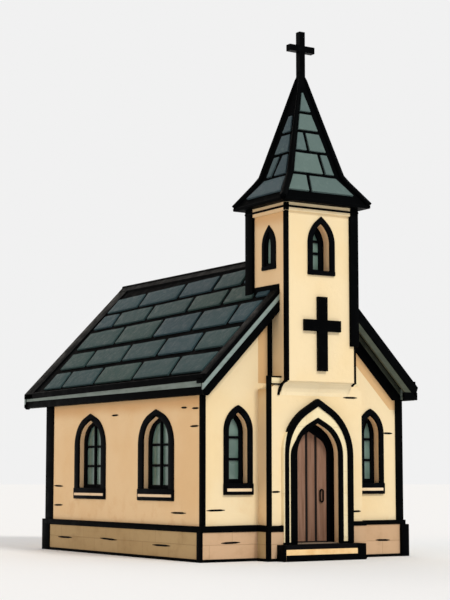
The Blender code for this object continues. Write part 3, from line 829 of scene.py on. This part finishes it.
verge = {
    "proud": 0.03,
    "boardProud": 0.015,
    "capProud": 0.05,
    "deep": 0.05,
    "capWide": {"front": 0.30, "back": 0.50},
    "run": 4.7,
    "inner": towerSide - 0.02,
    "left": {"capDrop": 0.09, "board": (0.09, 0.235, "verge"), "mould": (0.233, 0.505), "foot": 3.80,
             "end": ((-3.115, 0, 0), (-1, 0, 0)), "frieze": ((0.30, 0.69, "lead"),)},
    # the right verge's board and upper frieze take the darker olive, painted shade
    "right": {"capDrop": 0.30, "board": (0.30, 0.505, "paintedShadeVerge"), "mould": None, "foot": 3.83,
              "end": ((3.165, 0, 4.14), (0.24, 0, -0.09)),
              "frieze": ((0.26, 0.43, "paintedShadeVerge"), (0.42, 0.80, "lead"))},
}


def rake(name, side, top, foot, near, far, inner):
    # a strip along the slope, from one drop to another
    strip = block(name, (0.0, near, -foot * roofCos), (side * verge["run"], far, -top * roofCos))
    strip = moved(strip, (0, degrees(side * roofAngle), 0), (0, 0, ridgeTop))
    return trim(strip, (side * inner, 0, 0), (-side, 0, 0))


def verges(end, face, inner):
    # face is the outer face of the verge boards
    inward = 1 if end == "front" else -1
    outer = face - inward * verge["proud"]
    back = face + inward * verge["deep"]
    caps, moulds = [], []
    for side, hand in hands:
        shape = verge[hand]
        cap = rake(f"cap_{end}_{hand}", side, -verge["capProud"], shape["capDrop"], outer,
                   face + inward * verge["capWide"][end], inner)
        caps.append(trim(cap, *shape["end"]))
        top, foot, finish = shape["board"]
        board = rake(f"board_{end}_{hand}", side, top, foot, face - inward * verge["boardProud"], back, inner)
        cutBelow(board, shape["foot"])
        dress(soften(trim(board, *shape["end"]), 0.006), finish)
        if shape["mould"]:
            mould = rake(f"mould_{end}_{hand}", side, *shape["mould"], outer, back, inner)
            moulds.append(trim(cutBelow(mould, shape["foot"]), *shape["end"]))
    leaded(f"verge_cap_{end}", caps, 0.02, 3)
    leaded(f"verge_mould_{end}", moulds, 0.015)


verges("front", roofFront, verge["inner"])
verges("back", roofBack, 0.0)

# The frieze on the gable under each verge, olive and lead strips that stand in for the shade under the verge,
# painted shade; and the verge's return at the right eave
frieze = {"proud": 0.03, "foot": 3.84, "return": ((2.72, 3.84), (3.14, 4.03))}
for side, hand in hands:
    for number, (top, foot, finish) in enumerate(verge[hand]["frieze"]):
        strip = rake(f"frieze_{hand}_{number}", side, top, foot, wallFront - frieze["proud"],
                     wallFront + bury, verge["inner"])
        cutBelow(cutBeyond(strip, side, wallSide + bury), frieze["foot"])
        dress(soften(strip, 0.008), finish)
(x0, z0), (x1, z1) = frieze["return"]
strip = block("verge_return", (x0, roofFront - verge["proud"], z0), (x1, roofFront + verge["deep"], z1))
dress(soften(strip, 0.012))

# Eaves: a drip along the slates' foot that falls a little towards the back, the board, a mould, and a
# stop at each end
eaves = {
    "drip": (4.115, 4.27),
    "dripProud": 0.035,
    "tilt": 0.035,
    "board": (4.01, 4.21),
    "boardProud": 0.012,
    "mould": {"left": (3.832, 4.04), "right": (3.86, 4.04)},
    "mouldDeep": 0.04,
    "proud": 0.03,
    "stop": (3.94, 4.24),
    "stopProud": 0.02,
    "stopPlaces": ((roofFront, roofFront + 0.11), (roofBack - 0.08, roofBack + 0.02)),
    "deep": 0.06,
}


def eavesStrip(label, side, near, far, heights, y0=roofFront, y1=roofBack):
    return block(f"{label}_{dict(hands)[side]}", (side * near, y0, heights[0]), (side * far, y1, heights[1]))


inner, board = roofReach - eaves["deep"], edge("eaves_right", 1, "x")
for side, hand in hands:
    drip = eavesStrip("eaves_drip", side, roofReach - 0.05, roofReach + eaves["dripProud"], eaves["drip"])
    for end, lift in ((-1, eaves["tilt"]), (1, -eaves["tilt"])):
        nudge(drip, lambda co: co.y * end > 0, (0, 0, lift))
    dress(soften(drip, 0.02, 3))
    fascia = eavesStrip("eaves_fascia", side, inner, roofReach + eaves["boardProud"], eaves["board"],
                        roofFront + 0.10, roofBack - 0.03)
    dress(soften(fascia, 0.006), "board")
    parts = [eavesStrip("eaves_mould", side, board - eaves["mouldDeep"], board + eaves["proud"],
                        eaves["mould"][hand]),
             eavesStrip("soffit", side, wallSide - bury, board, (eavesFoot - bury, eavesFoot + bury),
                        roofFront + 0.05, roofBack - 0.05)]
    outer = roofReach + eaves["stopProud"]
    for near, far in eaves["stopPlaces"]:
        parts.append(eavesStrip("eaves_stop", side, inner, outer, eaves["stop"], near, far))
    leaded(f"eaves_mould_{hand}", parts, 0.015)
print("ridge, verges and eaves trimmed")


# Lead flashing where the roof meets the tower
flashing = {"tall": 0.15, "drop": 0.04, "proud": 0.025}
meet = ridgeTop - roofSlope * towerSide
parts = twins("flash", (towerSide - bury, roofFront - 0.02, meet - flashing["drop"]),
              (towerSide + flashing["proud"], towerBack + 0.02, meet + flashing["tall"]))
for side, hand in hands:
    strip = rake(f"flash_back_{hand}", side, -flashing["tall"], flashing["drop"], towerBack - bury,
                 towerBack + flashing["proud"], 0.0)
    parts.append(cutBeyond(strip, side, towerSide + 0.02))
leaded("tower_flashing", parts, 0.006)


# Corner beads and bands. Each corner is right or left, and back or front; each bead's widths are those
# on the front or back, and on the side, and how far it stands proud
bands = {"proud": 0.018, "foot": 0.05, "raised": 0.09, "high": 0.105}
beads = {
    "wall": {(-1, -1): (0.115, 0.125, 0.022), (1, -1): (0.21, 0.125, 0.045),
             (-1, 1): (0.125, 0.46, 0.022), (1, 1): (0.125, 0.24, 0.022)},
    "plinth": {(-1, -1): (0.06, 0.20, 0.022), (1, -1): (0.235, 0.125, 0.080),
               (-1, 1): (0.125, 0.46, 0.022), (1, 1): (0.125, 0.24, 0.022)},
    "bay": (0.105, 0.10, 0.022),
    "bayTop": 4.31,
    "inner": 0.085,
    "innerHeights": (4.19, 6.0),
}


def bead(name, x, y, back, low, high, size):
    # stands astride an outer corner
    right = 1 if x > 0 else -1
    across, along, proud = size
    far = (x + right * proud, y + back * proud)
    return block(name, (*far, low), (far[0] - right * across, far[1] - back * along, high))


bandFoot = plinthTop - bands["high"]
towerTop = edge("tower_cornice", 0, "z") + bury
wallBeads, plinthBeads, towerBeads = [], [], []
for (side, back), size in beads["wall"].items():
    y = wallFront if back < 0 else wallBack
    wallBeads.append(bead(f"bead_{side}_{back}", side * wallSide, y, back, plinthTop, eavesFoot, size))
    lift = bands["raised"] if (side, back) == (1, -1) else 0.0
    plinthBeads.append(bead(f"foot_{side}_{back}", side * plinthSide, y + back * ledge, back, 0.0,
                            bandFoot + lift, beads["plinth"][side, back]))
wallBeads.append(bead("bay", -baySide, bayFront, -1, plinthTop, beads["bayTop"], beads["bay"]))
plinthBeads.append(bead("bay_foot", -baySide - ledge, bayFront - ledge, -1, 0.0, bandFoot, beads["bay"]))
# The tower's beads also have a foot and a top, and those on the drawn side run on over the cornice
towerLengths = (
    (-1, -1, (0.085, 0.13, 0.022), 4.19, towerTop), (-1, -1, (0.11, 0.10, 0.068), 8.22, 8.42),
    (1, -1, (0.06, 0.12, 0.020), 4.19, 5.08), (1, -1, (0.24, 0.12, 0.075), 5.06, 8.42),
    (-1, 1, (0.12, 0.32, 0.075), 6.15, 8.42), (1, 1, (0.12, 0.24, 0.022), 6.15, towerTop),
)
for number, (side, back, size, foot, top) in enumerate(towerLengths):
    y = towerFront if back < 0 else towerBack
    towerBeads.append(bead(f"tower_{number}", side * towerSide, y, back, foot, top, size))
# In the angles between the gable and the tower
foot, top = beads["innerHeights"]
towerBeads += twins("inner", (towerSide - bury, wallFront - beads["inner"], foot),
                    (towerSide + beads["inner"], wallFront + bury, top))
for name, parts in (("corner", wallBeads), ("plinth", plinthBeads), ("tower", towerBeads)):
    leaded(f"{name}_beads", parts, 0.015)

besideSurround = surroundSide - skin
caps, feet = [], []
for node in ("plinth_left", "plinth_right", "plinth_back"):
    for kind, made, height, towards in (("cap", caps, bandFoot, -1), ("foot", feet, bands["foot"], 1)):
        piece = nodeCopy(node, f"{node}_{kind}")
        trim(piece, (0, 0, height), (0, 0, towards))
        if node != "plinth_back":
            side = -1 if node == "plinth_left" else 1
            trim(piece, (side * besideSurround, 0, 0), (-side, 0, 0))
        edit(piece)
        bpy.ops.transform.shrink_fatten(value=bands["proud"], use_even_offset=True)
        done()
        cutBelow(piece, 0)
        if node == "plinth_right" and kind == "cap":
            trim(piece, (0, wallFront, 0), (0, -1, 0))
        made.append(piece)
# The band stands higher at the front on the right
for number, (x0, x1, face) in enumerate(((besideSurround, baySide + ledge, bayFront),
                                         (baySide, plinthSide, wallFront))):
    caps.append(block(f"band_{number}", (x0, face - ledge - bands["proud"], bandFoot + bands["raised"]),
                      (x1 + bands["proud"], face + bury, plinthTop + bands["raised"])))
leaded("plinth_cap", caps, 0.010)
leaded("plinth_foot", feet, 0.006)
print("beads and bands set")

# A thin dark moulding under the tower's cornice
cornice = {"heights": (8.295, 8.345), "proud": 0.082, "deep": 0.102}
strip = fourSided("cornice_moulding", towerSide + cornice["proud"],
                  (towerBack - towerFront) / 2 + cornice["proud"], cornice["deep"], *cornice["heights"])
dress(soften(strip, 0.010))

# Kneeler stones on the bay's shoulders, and the dark edge of the cove under the tower
kneeler = {"inner": 0.99, "outer": 1.275, "low": 4.13, "high": 4.27, "proud": 0.020, "line": 0.034,
           "lineProud": 0.015, "deep": 0.06}
front = bayFront - kneeler["proud"]
stones = twins("kneeler", (kneeler["inner"], front, kneeler["low"]),
               (kneeler["outer"], bayFront + kneeler["deep"], kneeler["high"]))
lines = []
for number, low in enumerate((kneeler["low"] - kneeler["line"], kneeler["high"])):
    lines.append(block(f"line_{number}", (-kneeler["inner"], front - kneeler["lineProud"], low),
                       (-kneeler["outer"], bayFront + bury, low + kneeler["line"])))
dress(soften(joined("bay_kneelers", stones), 0.010), "dressed")
leaded("bay_kneeler_leads", lines, 0.008)

# The curve under the tower, in steps: each side starts at one of them, and the left spreads at its foot
cove = {"foot": 3.86, "high": 0.33, "radius": 0.034, "steps": 8, "first": {-1: 0, 1: 5},
        "spread": {-1: 0.08, 1: 0.0}}
edges = []
reach = bayFront - towerFront
for side, hand in hands:
    line = []
    for i in range(cove["first"][side], cove["steps"] + 1):
        angle = pi / 2 * i / cove["steps"]
        spread = cove["spread"][side] * (1 - i / cove["steps"])
        line.append((side * (towerSide + spread), bayFront - reach * (1 - cos(angle)),
                     cove["foot"] + cove["high"] * sin(angle) ** 1.2))
    edges.append(tube(f"cove_{hand}", line, [cove["radius"]] * len(line)))
dress(joined("cove_edges", edges))


# Pointed arches: half width, the heights of the spring and the apex, and the slope up to the point
def arch(half, spring, apex, point):
    return {"half": half, "spring": spring, "apex": apex, "point": radians(point)}


def haunch(shape):
    # the radius of each side's curve, and the turn it makes before it runs straight to the point
    point = shape["point"]
    turn = pi / 2 - point
    rise = shape["apex"] - shape["spring"]
    radius = (rise - shape["half"] * tan(point)) / (sin(turn) - (1 - cos(turn)) * tan(point))
    return radius, turn


def pointedRing(name, shape, inner, outer, near, far, foot):
    # a profile on the ground, drawn up one jamb, spun round the haunch and run on past the point
    radius, turn = haunch(shape)
    x0, x1 = shape["half"] + inner, shape["half"] + outer
    middle = ((x0 + x1) / 2, (near + far) / 2, foot)
    ring = added(name, bpy.ops.mesh.primitive_plane_add, size=1, location=middle)
    ring.scale = (x1 - x0, far - near, 1)
    edit(settle(ring))
    run, centre = 1.5 * x1, (shape["half"] - radius, 0, shape["spring"])
    bpy.ops.mesh.extrude_region_move(TRANSFORM_OT_translate={"value": (0, 0, shape["spring"] - foot)})
    bpy.ops.mesh.spin(steps=10, angle=turn, center=centre, axis=(0, 1, 0))
    bpy.ops.mesh.extrude_region_move(TRANSFORM_OT_translate={"value": (-run * sin(turn), 0, run * cos(turn))})
    bpy.ops.mesh.select_all(action="SELECT")
    bpy.ops.mesh.bisect(plane_co=(0, 0, 0), plane_no=(1, 0, 0), clear_inner=True)
    done()
    shaped(cleaned(ring), "MIRROR", use_axis=(True, False, False), use_clip=True, merge_threshold=0.0005)
    return cleaned(ring)


def pointedSlab(name, shape, inset, near, far, foot):
    # a flat pointed outline, filled and given its depth
    radius, turn = haunch(shape)
    centre, steps = shape["half"] - radius, 10
    right = [(shape["half"] - inset, foot)]
    for i in range(steps + 1):
        angle = turn * i / steps
        right.append((centre + (radius - inset) * cos(angle),
                      shape["spring"] + (radius - inset) * sin(angle)))
    apex = (0, shape["apex"] - inset / cos(shape["point"]))
    outline = right + [apex] + [(-u, v) for u, v in reversed(right)]
    line, spline = curve(name, [(u, v, 0) for u, v in outline], "2D")
    line.data.fill_mode = "BOTH"
    line.data.extrude = (far - near) / 2
    spline.use_cyclic_u = True
    return cleaned(moved(meshed(line, name), (90, 0, 0), (0, (near + far) / 2, 0)))


# For each kind: the opening, the moulding's outer edge and the glass that shows; the heights of their
# feet; how far the moulding stands out and laps in, and how deep the casing lies
windows = {
    "side": {
        "opening": arch(0.62, 2.80, 3.42, 24),
        "outer": arch(0.86, 2.72, 3.575, 19),
        "glass": arch(0.49, 2.72, 3.36, 28),
        "foot": 1.66, "glassFoot": 1.72, "proud": 0.030, "lining": 0.020, "reveal": 0.14, "mullion": 0.038,
        "sillFoot": 1.375, "sillReach": 0.05, "strip": (1.465, 1.530),
    },
    "front": {
        "opening": arch(0.27, 3.00, 3.46, 37),
        "outer": arch(0.40, 3.02, 3.62, 25),
        "glass": arch(0.165, 2.98, 3.34, 52),
        "foot": 1.80, "glassFoot": 1.90, "proud": 0.040, "lining": 0.020, "reveal": 0.20,
        "sillFoot": 1.53, "sillReach": 0.07, "strip": (1.61, 1.68),
    },
    "towerFront": {
        "opening": arch(0.26, 7.50, 7.99, 40),
        "outer": arch(0.39, 7.50, 8.15, 40),
        "glass": arch(0.125, 7.46, 7.80, 58),
        "foot": 6.84, "glassFoot": 6.90, "proud": 0.040, "lining": 0.020, "reveal": 0.25,
        "sillFoot": 6.73, "sillReach": 0.06,
    },
    "towerSide": {
        "opening": arch(0.18, 7.45, 7.80, 46),
        "outer": arch(0.295, 7.45, 7.96, 44),
        "glass": arch(0.085, 7.46, 7.77, 64),
        "foot": 6.97, "glassFoot": 7.03, "proud": 0.025, "lining": 0.030, "reveal": 0.01, "shift": -0.04,
        "sillFoot": 6.874, "sillReach": 0.04,
    },
}
windows["frontRight"] = {**windows["front"], "shift": 0.07, "glass": arch(0.10, 2.98, 3.30, 58)}
casing = {"proud": 0.006, "deep": 0.044, "mullionProud": 0.012, "mullionDeep": 0.040}

# Each window's kind and the way that it faces
windowPlaces = {
    "left_front": ("side", -90), "left_back": ("side", -90), "right_front": ("side", 90),
    "right_back": ("side", 90), "back": ("side", 180), "front_left": ("front", 0),
    "front_right": ("frontRight", 0), "tower_front": ("towerFront", 0), "tower_left": ("towerSide", -90),
    "tower_right": ("towerSide", 90),
}


def pierced(name, outer, hole, near, far, foot, holeFoot, shift=0.0):
    # a pointed slab with a pointed hole through it, each an arch and how far it is drawn in
    slab = pointedSlab(name, *outer, near, far, foot)
    cutter = moved(pointedSlab("cutter", *hole, near - 0.2, far + 0.2, holeFoot), to=(shift, 0, 0))
    carved(slab, cutter)
    dropped(cutter)
    return cleaned(slab)


def windowPattern(kind):
    # the moulding round the opening, the casing in front of the frame, and the sill with its pale strip
    window = windows[kind]
    outer, opening, glass = window["outer"], window["opening"], window["glass"]
    foot, reveal = window["foot"], window["reveal"]
    reach, half = outer["half"], opening["half"]
    ring = pierced(f"ring_{kind}", (outer, 0.0), (opening, skin), -window["proud"], window["lining"],
                   foot - 0.02, foot - 0.5)
    inner = pierced(f"casing_{kind}", (opening, -bury), (glass, 0.0), reveal - casing["proud"],
                    reveal + casing["deep"], foot - bury, window["glassFoot"], window.get("shift", 0.0))
    sill = block(f"sill_{kind}", (-reach - 0.006, -window["sillReach"], window["sillFoot"]),
                 (reach + 0.006, 0.02, foot))
    shelf = block(f"ledge_{kind}", (-half, 0.0, foot - 0.05), (half, reveal, foot + skin))
    dark = [soften(ring, 0.012, 3), soften(inner, 0.008), soften(sill, 0.020, 3), shelf]
    if "mullion" in window:
        mullion = block(f"mullion_{kind}",
                        (-window["mullion"], reveal - casing["mullionProud"], window["glassFoot"] - 0.03),
                        (window["mullion"], reveal + casing["mullionDeep"], glass["apex"] + 0.05))
        dark.append(soften(mullion, 0.006))
    pattern = [("window_trim", joined(f"trim_{kind}", dark), "frame")]
    if "strip" in window:
        low, high = window["strip"]
        strip = block(f"strip_{kind}", (-reach + 0.06, -window["sillReach"] - 0.012, low),
                      (reach - 0.06, 0.0, high))
        pattern.append(("sill", soften(strip, 0.008), "sill"))
    return pattern


def onWall(turn, face, along, height=0):
    # a place on the wall that faces this way
    return (face, along, height) if abs(turn) == 90 else (along, face, height)


patterns = {kind: windowPattern(kind) for kind in windows}
for name, (kind, turn) in windowPlaces.items():
    low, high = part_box(f"window_{name}")
    middle = (low + high) / 2
    tower = kind.startswith("tower")
    if turn == 180:
        face = wallBack
    elif turn == 0:
        face = towerFront if tower else wallFront
    else:
        face = copysign(towerSide if tower else wallSide, turn)
    place = onWall(turn, face, middle.y if abs(turn) == 90 else middle.x)
    for label, pattern, finish in patterns[kind]:
        dress(moved(copied(pattern, f"{label}_{name}"), (0, 0, turn), place), finish)
for made in patterns.values():
    for label, pattern, finish in made:
        dropped(pattern)
print("windows trimmed")


# The door: edges are measured outwards from the arch, and each left jamb is stretched from a line on
door = {
    "roll": arch(0.64, 2.45, 3.25, 28),
    "hood": arch(0.64, 2.45, 3.36, 31),
    "leaf": arch(0.54, 2.50, 3.07, 30),
    "hoodEdges": (0.215, 0.375),
    "hoodProud": 0.045,
    "hoodJamb": (-0.855, 0.64),
    "rollEdges": (-0.030, 0.085),
    "rollProud": 0.025,
    "rollDeep": 0.055,
    "rollJamb": (-0.66, 2.1),
    "revealShadeDeep": 0.12,
    "leafFoot": 0.43,
    "leafInset": 0.040,
    "plankThick": 0.014,
    "planks": ((-0.50, -0.119, 0.15), (-0.049, 0.155, 0.75), (0.225, 0.50, 0.35)),
}
stepTop = edge("door_step", 1, "z")
frameFace = edge("door_frame", 0, "y")
revealShadeFace = frameFace - door["revealShadeDeep"]


def widened(piece, start, share):
    for vertex in piece.data.vertices:
        if vertex.co.x < start:
            vertex.co.x = start + (vertex.co.x - start) * share
    return piece


hood = pointedRing("door_hood", door["hood"], *door["hoodEdges"], surroundFront - door["hoodProud"],
                   bayFront + bury, stepTop)
dress(soften(widened(hood, *door["hoodJamb"]), 0.022, 3))
roll = pointedRing("door_roll", door["roll"], *door["rollEdges"], surroundFront - door["rollProud"],
                   surroundFront + door["rollDeep"], stepTop)
dress(soften(widened(roll, *door["rollJamb"]), 0.016, 3))

# The reveal's lining, in the reveal tone, and a dark strip where it meets the frame: painted shade at the
# back of the reveal
lining = pointedRing("door_lining", door["roll"], -0.014, 0.0, surroundFront + 0.02, revealShadeFace, stepTop)
dress(soften(lining, 0.003), "bay")
lining = pointedRing("door_reveal_shade", door["roll"], -0.022, 0.0, revealShadeFace, frameFace + bury, stepTop)
dress(soften(lining, 0.006), "frame")

slab = pointedSlab("plank_shape", door["leaf"], door["leafInset"], -0.5, 0.5, door["leafFoot"])
planks = []
for number, (left, right, tone) in enumerate(door["planks"]):
    plank = block(f"plank_{number}", (left, -door["plankThick"], 0.0), (right, skin, 3.4))
    carved(plank, slab, "INTERSECT")
    setTone(plank, tone)
    planks.append(cleaned(plank))
dropped(slab)
front = soften(joined("door_planks", planks), 0.005)
dress(moved(front, to=(0, edge("door_leaf", 0, "y"), 0)), "planks", "door")

# The pull: a drawn-out ring, held at each end by a post with a rose: sides, radius, depth and place
pull = {"half": 0.045, "rod": 0.018, "stretch": 0.10, "proud": 0.018,
        "fixings": {"post": (16, 0.011, 0.06, 0.028), "rose": (24, 0.024, 0.008, 0.042)}}
handleLow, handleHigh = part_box("door_handle")
middle = (handleLow + handleHigh) / 2
ring = added("ring", bpy.ops.mesh.primitive_torus_add, major_radius=pull["half"], minor_radius=pull["rod"],
             major_segments=32, minor_segments=12, rotation=(radians(90), 0, 0))
parts = [settle(ring)]
for end in (-1, 1):
    nudge(ring, lambda co: co.z * end > 0.0005, (0, 0, end * pull["stretch"]))
    for name, (sides, radius, depth, y) in pull["fixings"].items():
        fixing = added(f"{name}_{end}", bpy.ops.mesh.primitive_cylinder_add, vertices=sides, radius=radius,
                       depth=depth, location=(0, y, end * (pull["half"] + pull["stretch"])),
                       rotation=(radians(90), 0, 0))
        settle(fixing)
        parts.append(soften(fixing, 0.002) if name == "rose" else fixing)
ring = joined("door_pull", parts)
dress(moved(ring, to=(middle.x, handleLow.y + pull["proud"], middle.z)), "iron", "door")
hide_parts("door_handle")
print("door hung")


# Masonry marks, the few joints that show through the render: the way that each wall faces, where its
# face is, and each mark's place along it, height and length
marks = {
    "left": (-90, -wallSide,
             ((0.135, 3.49, 0.34), (-3.27, 3.565, 0.26), (-3.78, 3.535, 0.30), (-3.74, 3.12, 0.38),
              (3.28, 1.70, 0.52), (3.28, 1.195, 0.50), (-3.02, 1.105, 0.68))),
    "right": (90, wallSide,
              ((0.30, 3.52, 0.34), (-3.20, 3.15, 0.36), (3.35, 3.10, 0.34), (3.45, 1.25, 0.50),
               (-2.95, 1.15, 0.60))),
    "front": (0, wallFront, ((-2.53, 1.18, 0.50), (2.50, 3.02, 0.30))),
    "bay": (0, bayFront, ((1.02, 3.845, 0.42), (1.18, 1.125, 0.26), (-1.16, 1.60, 0.24))),
    "back": (180, wallBack,
             ((-2.2, 3.6, 0.45), (1.4, 4.5, 0.4), (2.3, 1.3, 0.5), (-1.2, 1.15, 0.5), (-0.6, 5.4, 0.35))),
    "plinthLeft": (-90, -plinthSide, ((2.75, 0.36, 0.80), (0.33, 0.39, 0.90), (-2.33, 0.33, 0.85))),
    "plinthRight": (90, plinthSide, ((2.60, 0.38, 0.80), (-0.30, 0.33, 0.90), (-2.60, 0.40, 0.80))),
    "plinthFront": (0, wallFront - ledge, ((-2.16, 0.435, 0.52), (2.27, 0.405, 0.44))),
    "plinthBack": (180, wallBack + ledge, ((-1.6, 0.40, 0.7), (1.2, 0.36, 0.8))),
}
markHigh = 0.045
mark = block("mark", (-0.5, -0.006, -0.5), (0.5, 0.01, 0.5))
divided(mark, 3)
for end in (-1, 1):
    pick(mark, lambda co: co.x * end > 0.4)
    bpy.ops.transform.resize(value=(1, 1, 0.25), center_override=(0, 0, 0))
    done()
made = []
for wall, (turn, face, places) in marks.items():
    for along, height, long in places:
        one = copied(mark, f"mark_{wall}_{len(made)}")
        one.scale = (long, 1, markHigh)
        tilt = random.uniform(-1.5, 1.5)
        made.append(moved(settle(one), (0, tilt, turn), onWall(turn, face, along, height)))
dropped(mark)
dress(joined("masonry_marks", made), "frame")

# The step's dark cheeks, foot and risers, and its pale facing
step = {"cheek": {"left": 0.05, "right": 0.24}, "foot": 0.15, "faceTop": 0.26, "proud": 0.012, "riser": 0.05,
        "cheekDeep": 0.12, "deep": 0.10}
stepLow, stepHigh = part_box("door_step")
parts = []
for (side, hand), outer in zip(hands, (stepLow.x, stepHigh.x)):
    parts.append(block(f"cheek_{hand}", (outer + side * step["proud"], stepLow.y - step["proud"], 0.0),
                       (outer - side * step["cheek"][hand], stepLow.y + step["cheekDeep"], stepHigh.z)))
parts.append(block("cheek_side", (stepLow.x - skin, stepLow.y + step["deep"], 0.0),
                   (stepLow.x + 0.08, bayFront - ledge, stepHigh.z - 0.10)))
parts.append(block("step_foot", (stepLow.x + 0.05, stepLow.y - 0.008, 0.0),
                   (stepHigh.x - 0.05, stepLow.y + step["deep"], step["foot"])))
parts += twins("step_riser", (surroundSide + bury, surroundFront - step["proud"], stepHigh.z - bury),
               (door["roll"]["half"] - skin, surroundFront + 0.03, stepHigh.z + step["riser"]))
leaded("step_cheeks", parts, 0.010)
facing = block("step_facing", (stepLow.x + 0.04, stepLow.y - skin, 0.02),
               (stepHigh.x - 0.10, stepLow.y + 0.09, step["faceTop"]))
dress(soften(facing, 0.004), "step")
print("marks and step done")


# Floor, lights and camera
stage = {"floor": "F0F3F6", "backdrop": "F1F1F1", "sky": "FFFFFF", "skyLight": 0.60, "reach": 300}
floor = added("stage_floor", bpy.ops.mesh.primitive_plane_add, size=2 * stage["reach"])
paper = Finish("stagePaper", 1.0, shine=0.0)
paper.constant("Base Color", colour(stage["floor"]))
floor.data.materials.append(paper.material)

# A pale dome all round, which is seen but throws no light
dome = added("stage_dome", bpy.ops.mesh.primitive_uv_sphere_add, segments=64, ring_count=32,
             radius=stage["reach"] * 0.98)
haze = Finish("stageHaze", 1.0, shine=0.0)
haze.constant("Base Color", (0, 0, 0, 1))
haze.constant("Emission Color", colour(stage["backdrop"]))
haze.constant("Emission Strength", 1.0)
dome.data.materials.append(haze.material)
for ray in ("diffuse", "glossy", "transmission", "volume_scatter", "shadow"):
    setattr(dome, f"visible_{ray}", False)
bpy.context.scene.view_settings.view_transform = "Standard"

world = bpy.context.scene.world or bpy.data.worlds.new("studio")
bpy.context.scene.world = world
world.use_nodes = True
sky = world.node_tree.nodes["Background"]
sky.inputs["Color"].default_value = colour(stage["sky"])
sky.inputs["Strength"].default_value = stage["skyLight"]

# Where each light comes from: turned round from the front to the right, and raised
suns = {
    "key": {"round": 8, "raise": 40, "strength": 1.45, "soft": 12, "colour": "FFFAF0"},
    "fill": {"round": -100, "raise": 20, "strength": 0.46, "soft": 40, "colour": "FFB978"},
    "rear": {"round": 165, "raise": 35, "strength": 0.60, "soft": 40, "colour": "FFF4E8"},
}
for name, settings in suns.items():
    lamp = added(f"sun_{name}", bpy.ops.object.light_add, type="SUN", location=(0, 0, 30))
    around, above = radians(settings["round"]), radians(settings["raise"])
    towards = Vector((sin(around) * cos(above), -cos(around) * cos(above), sin(above)))
    lamp.rotation_euler = towards.to_track_quat("Z", "Y").to_euler()
    lamp.data.energy = settings["strength"]
    lamp.data.angle = radians(settings["soft"])
    lamp.data.color = colour(settings["colour"])[:3]

view = {"place": (-22.106, -35.401, 1.999), "tilt": 96.268, "turn": -32.335, "lens": 95.42}
camera = added("camera", bpy.ops.object.camera_add, location=view["place"],
               rotation=(radians(view["tilt"]), 0, radians(view["turn"])))
camera.data.lens = view["lens"]
camera.data.sensor_width = 36
camera.data.clip_end = 1000
bpy.context.scene.camera = camera
print("stage and camera ready")
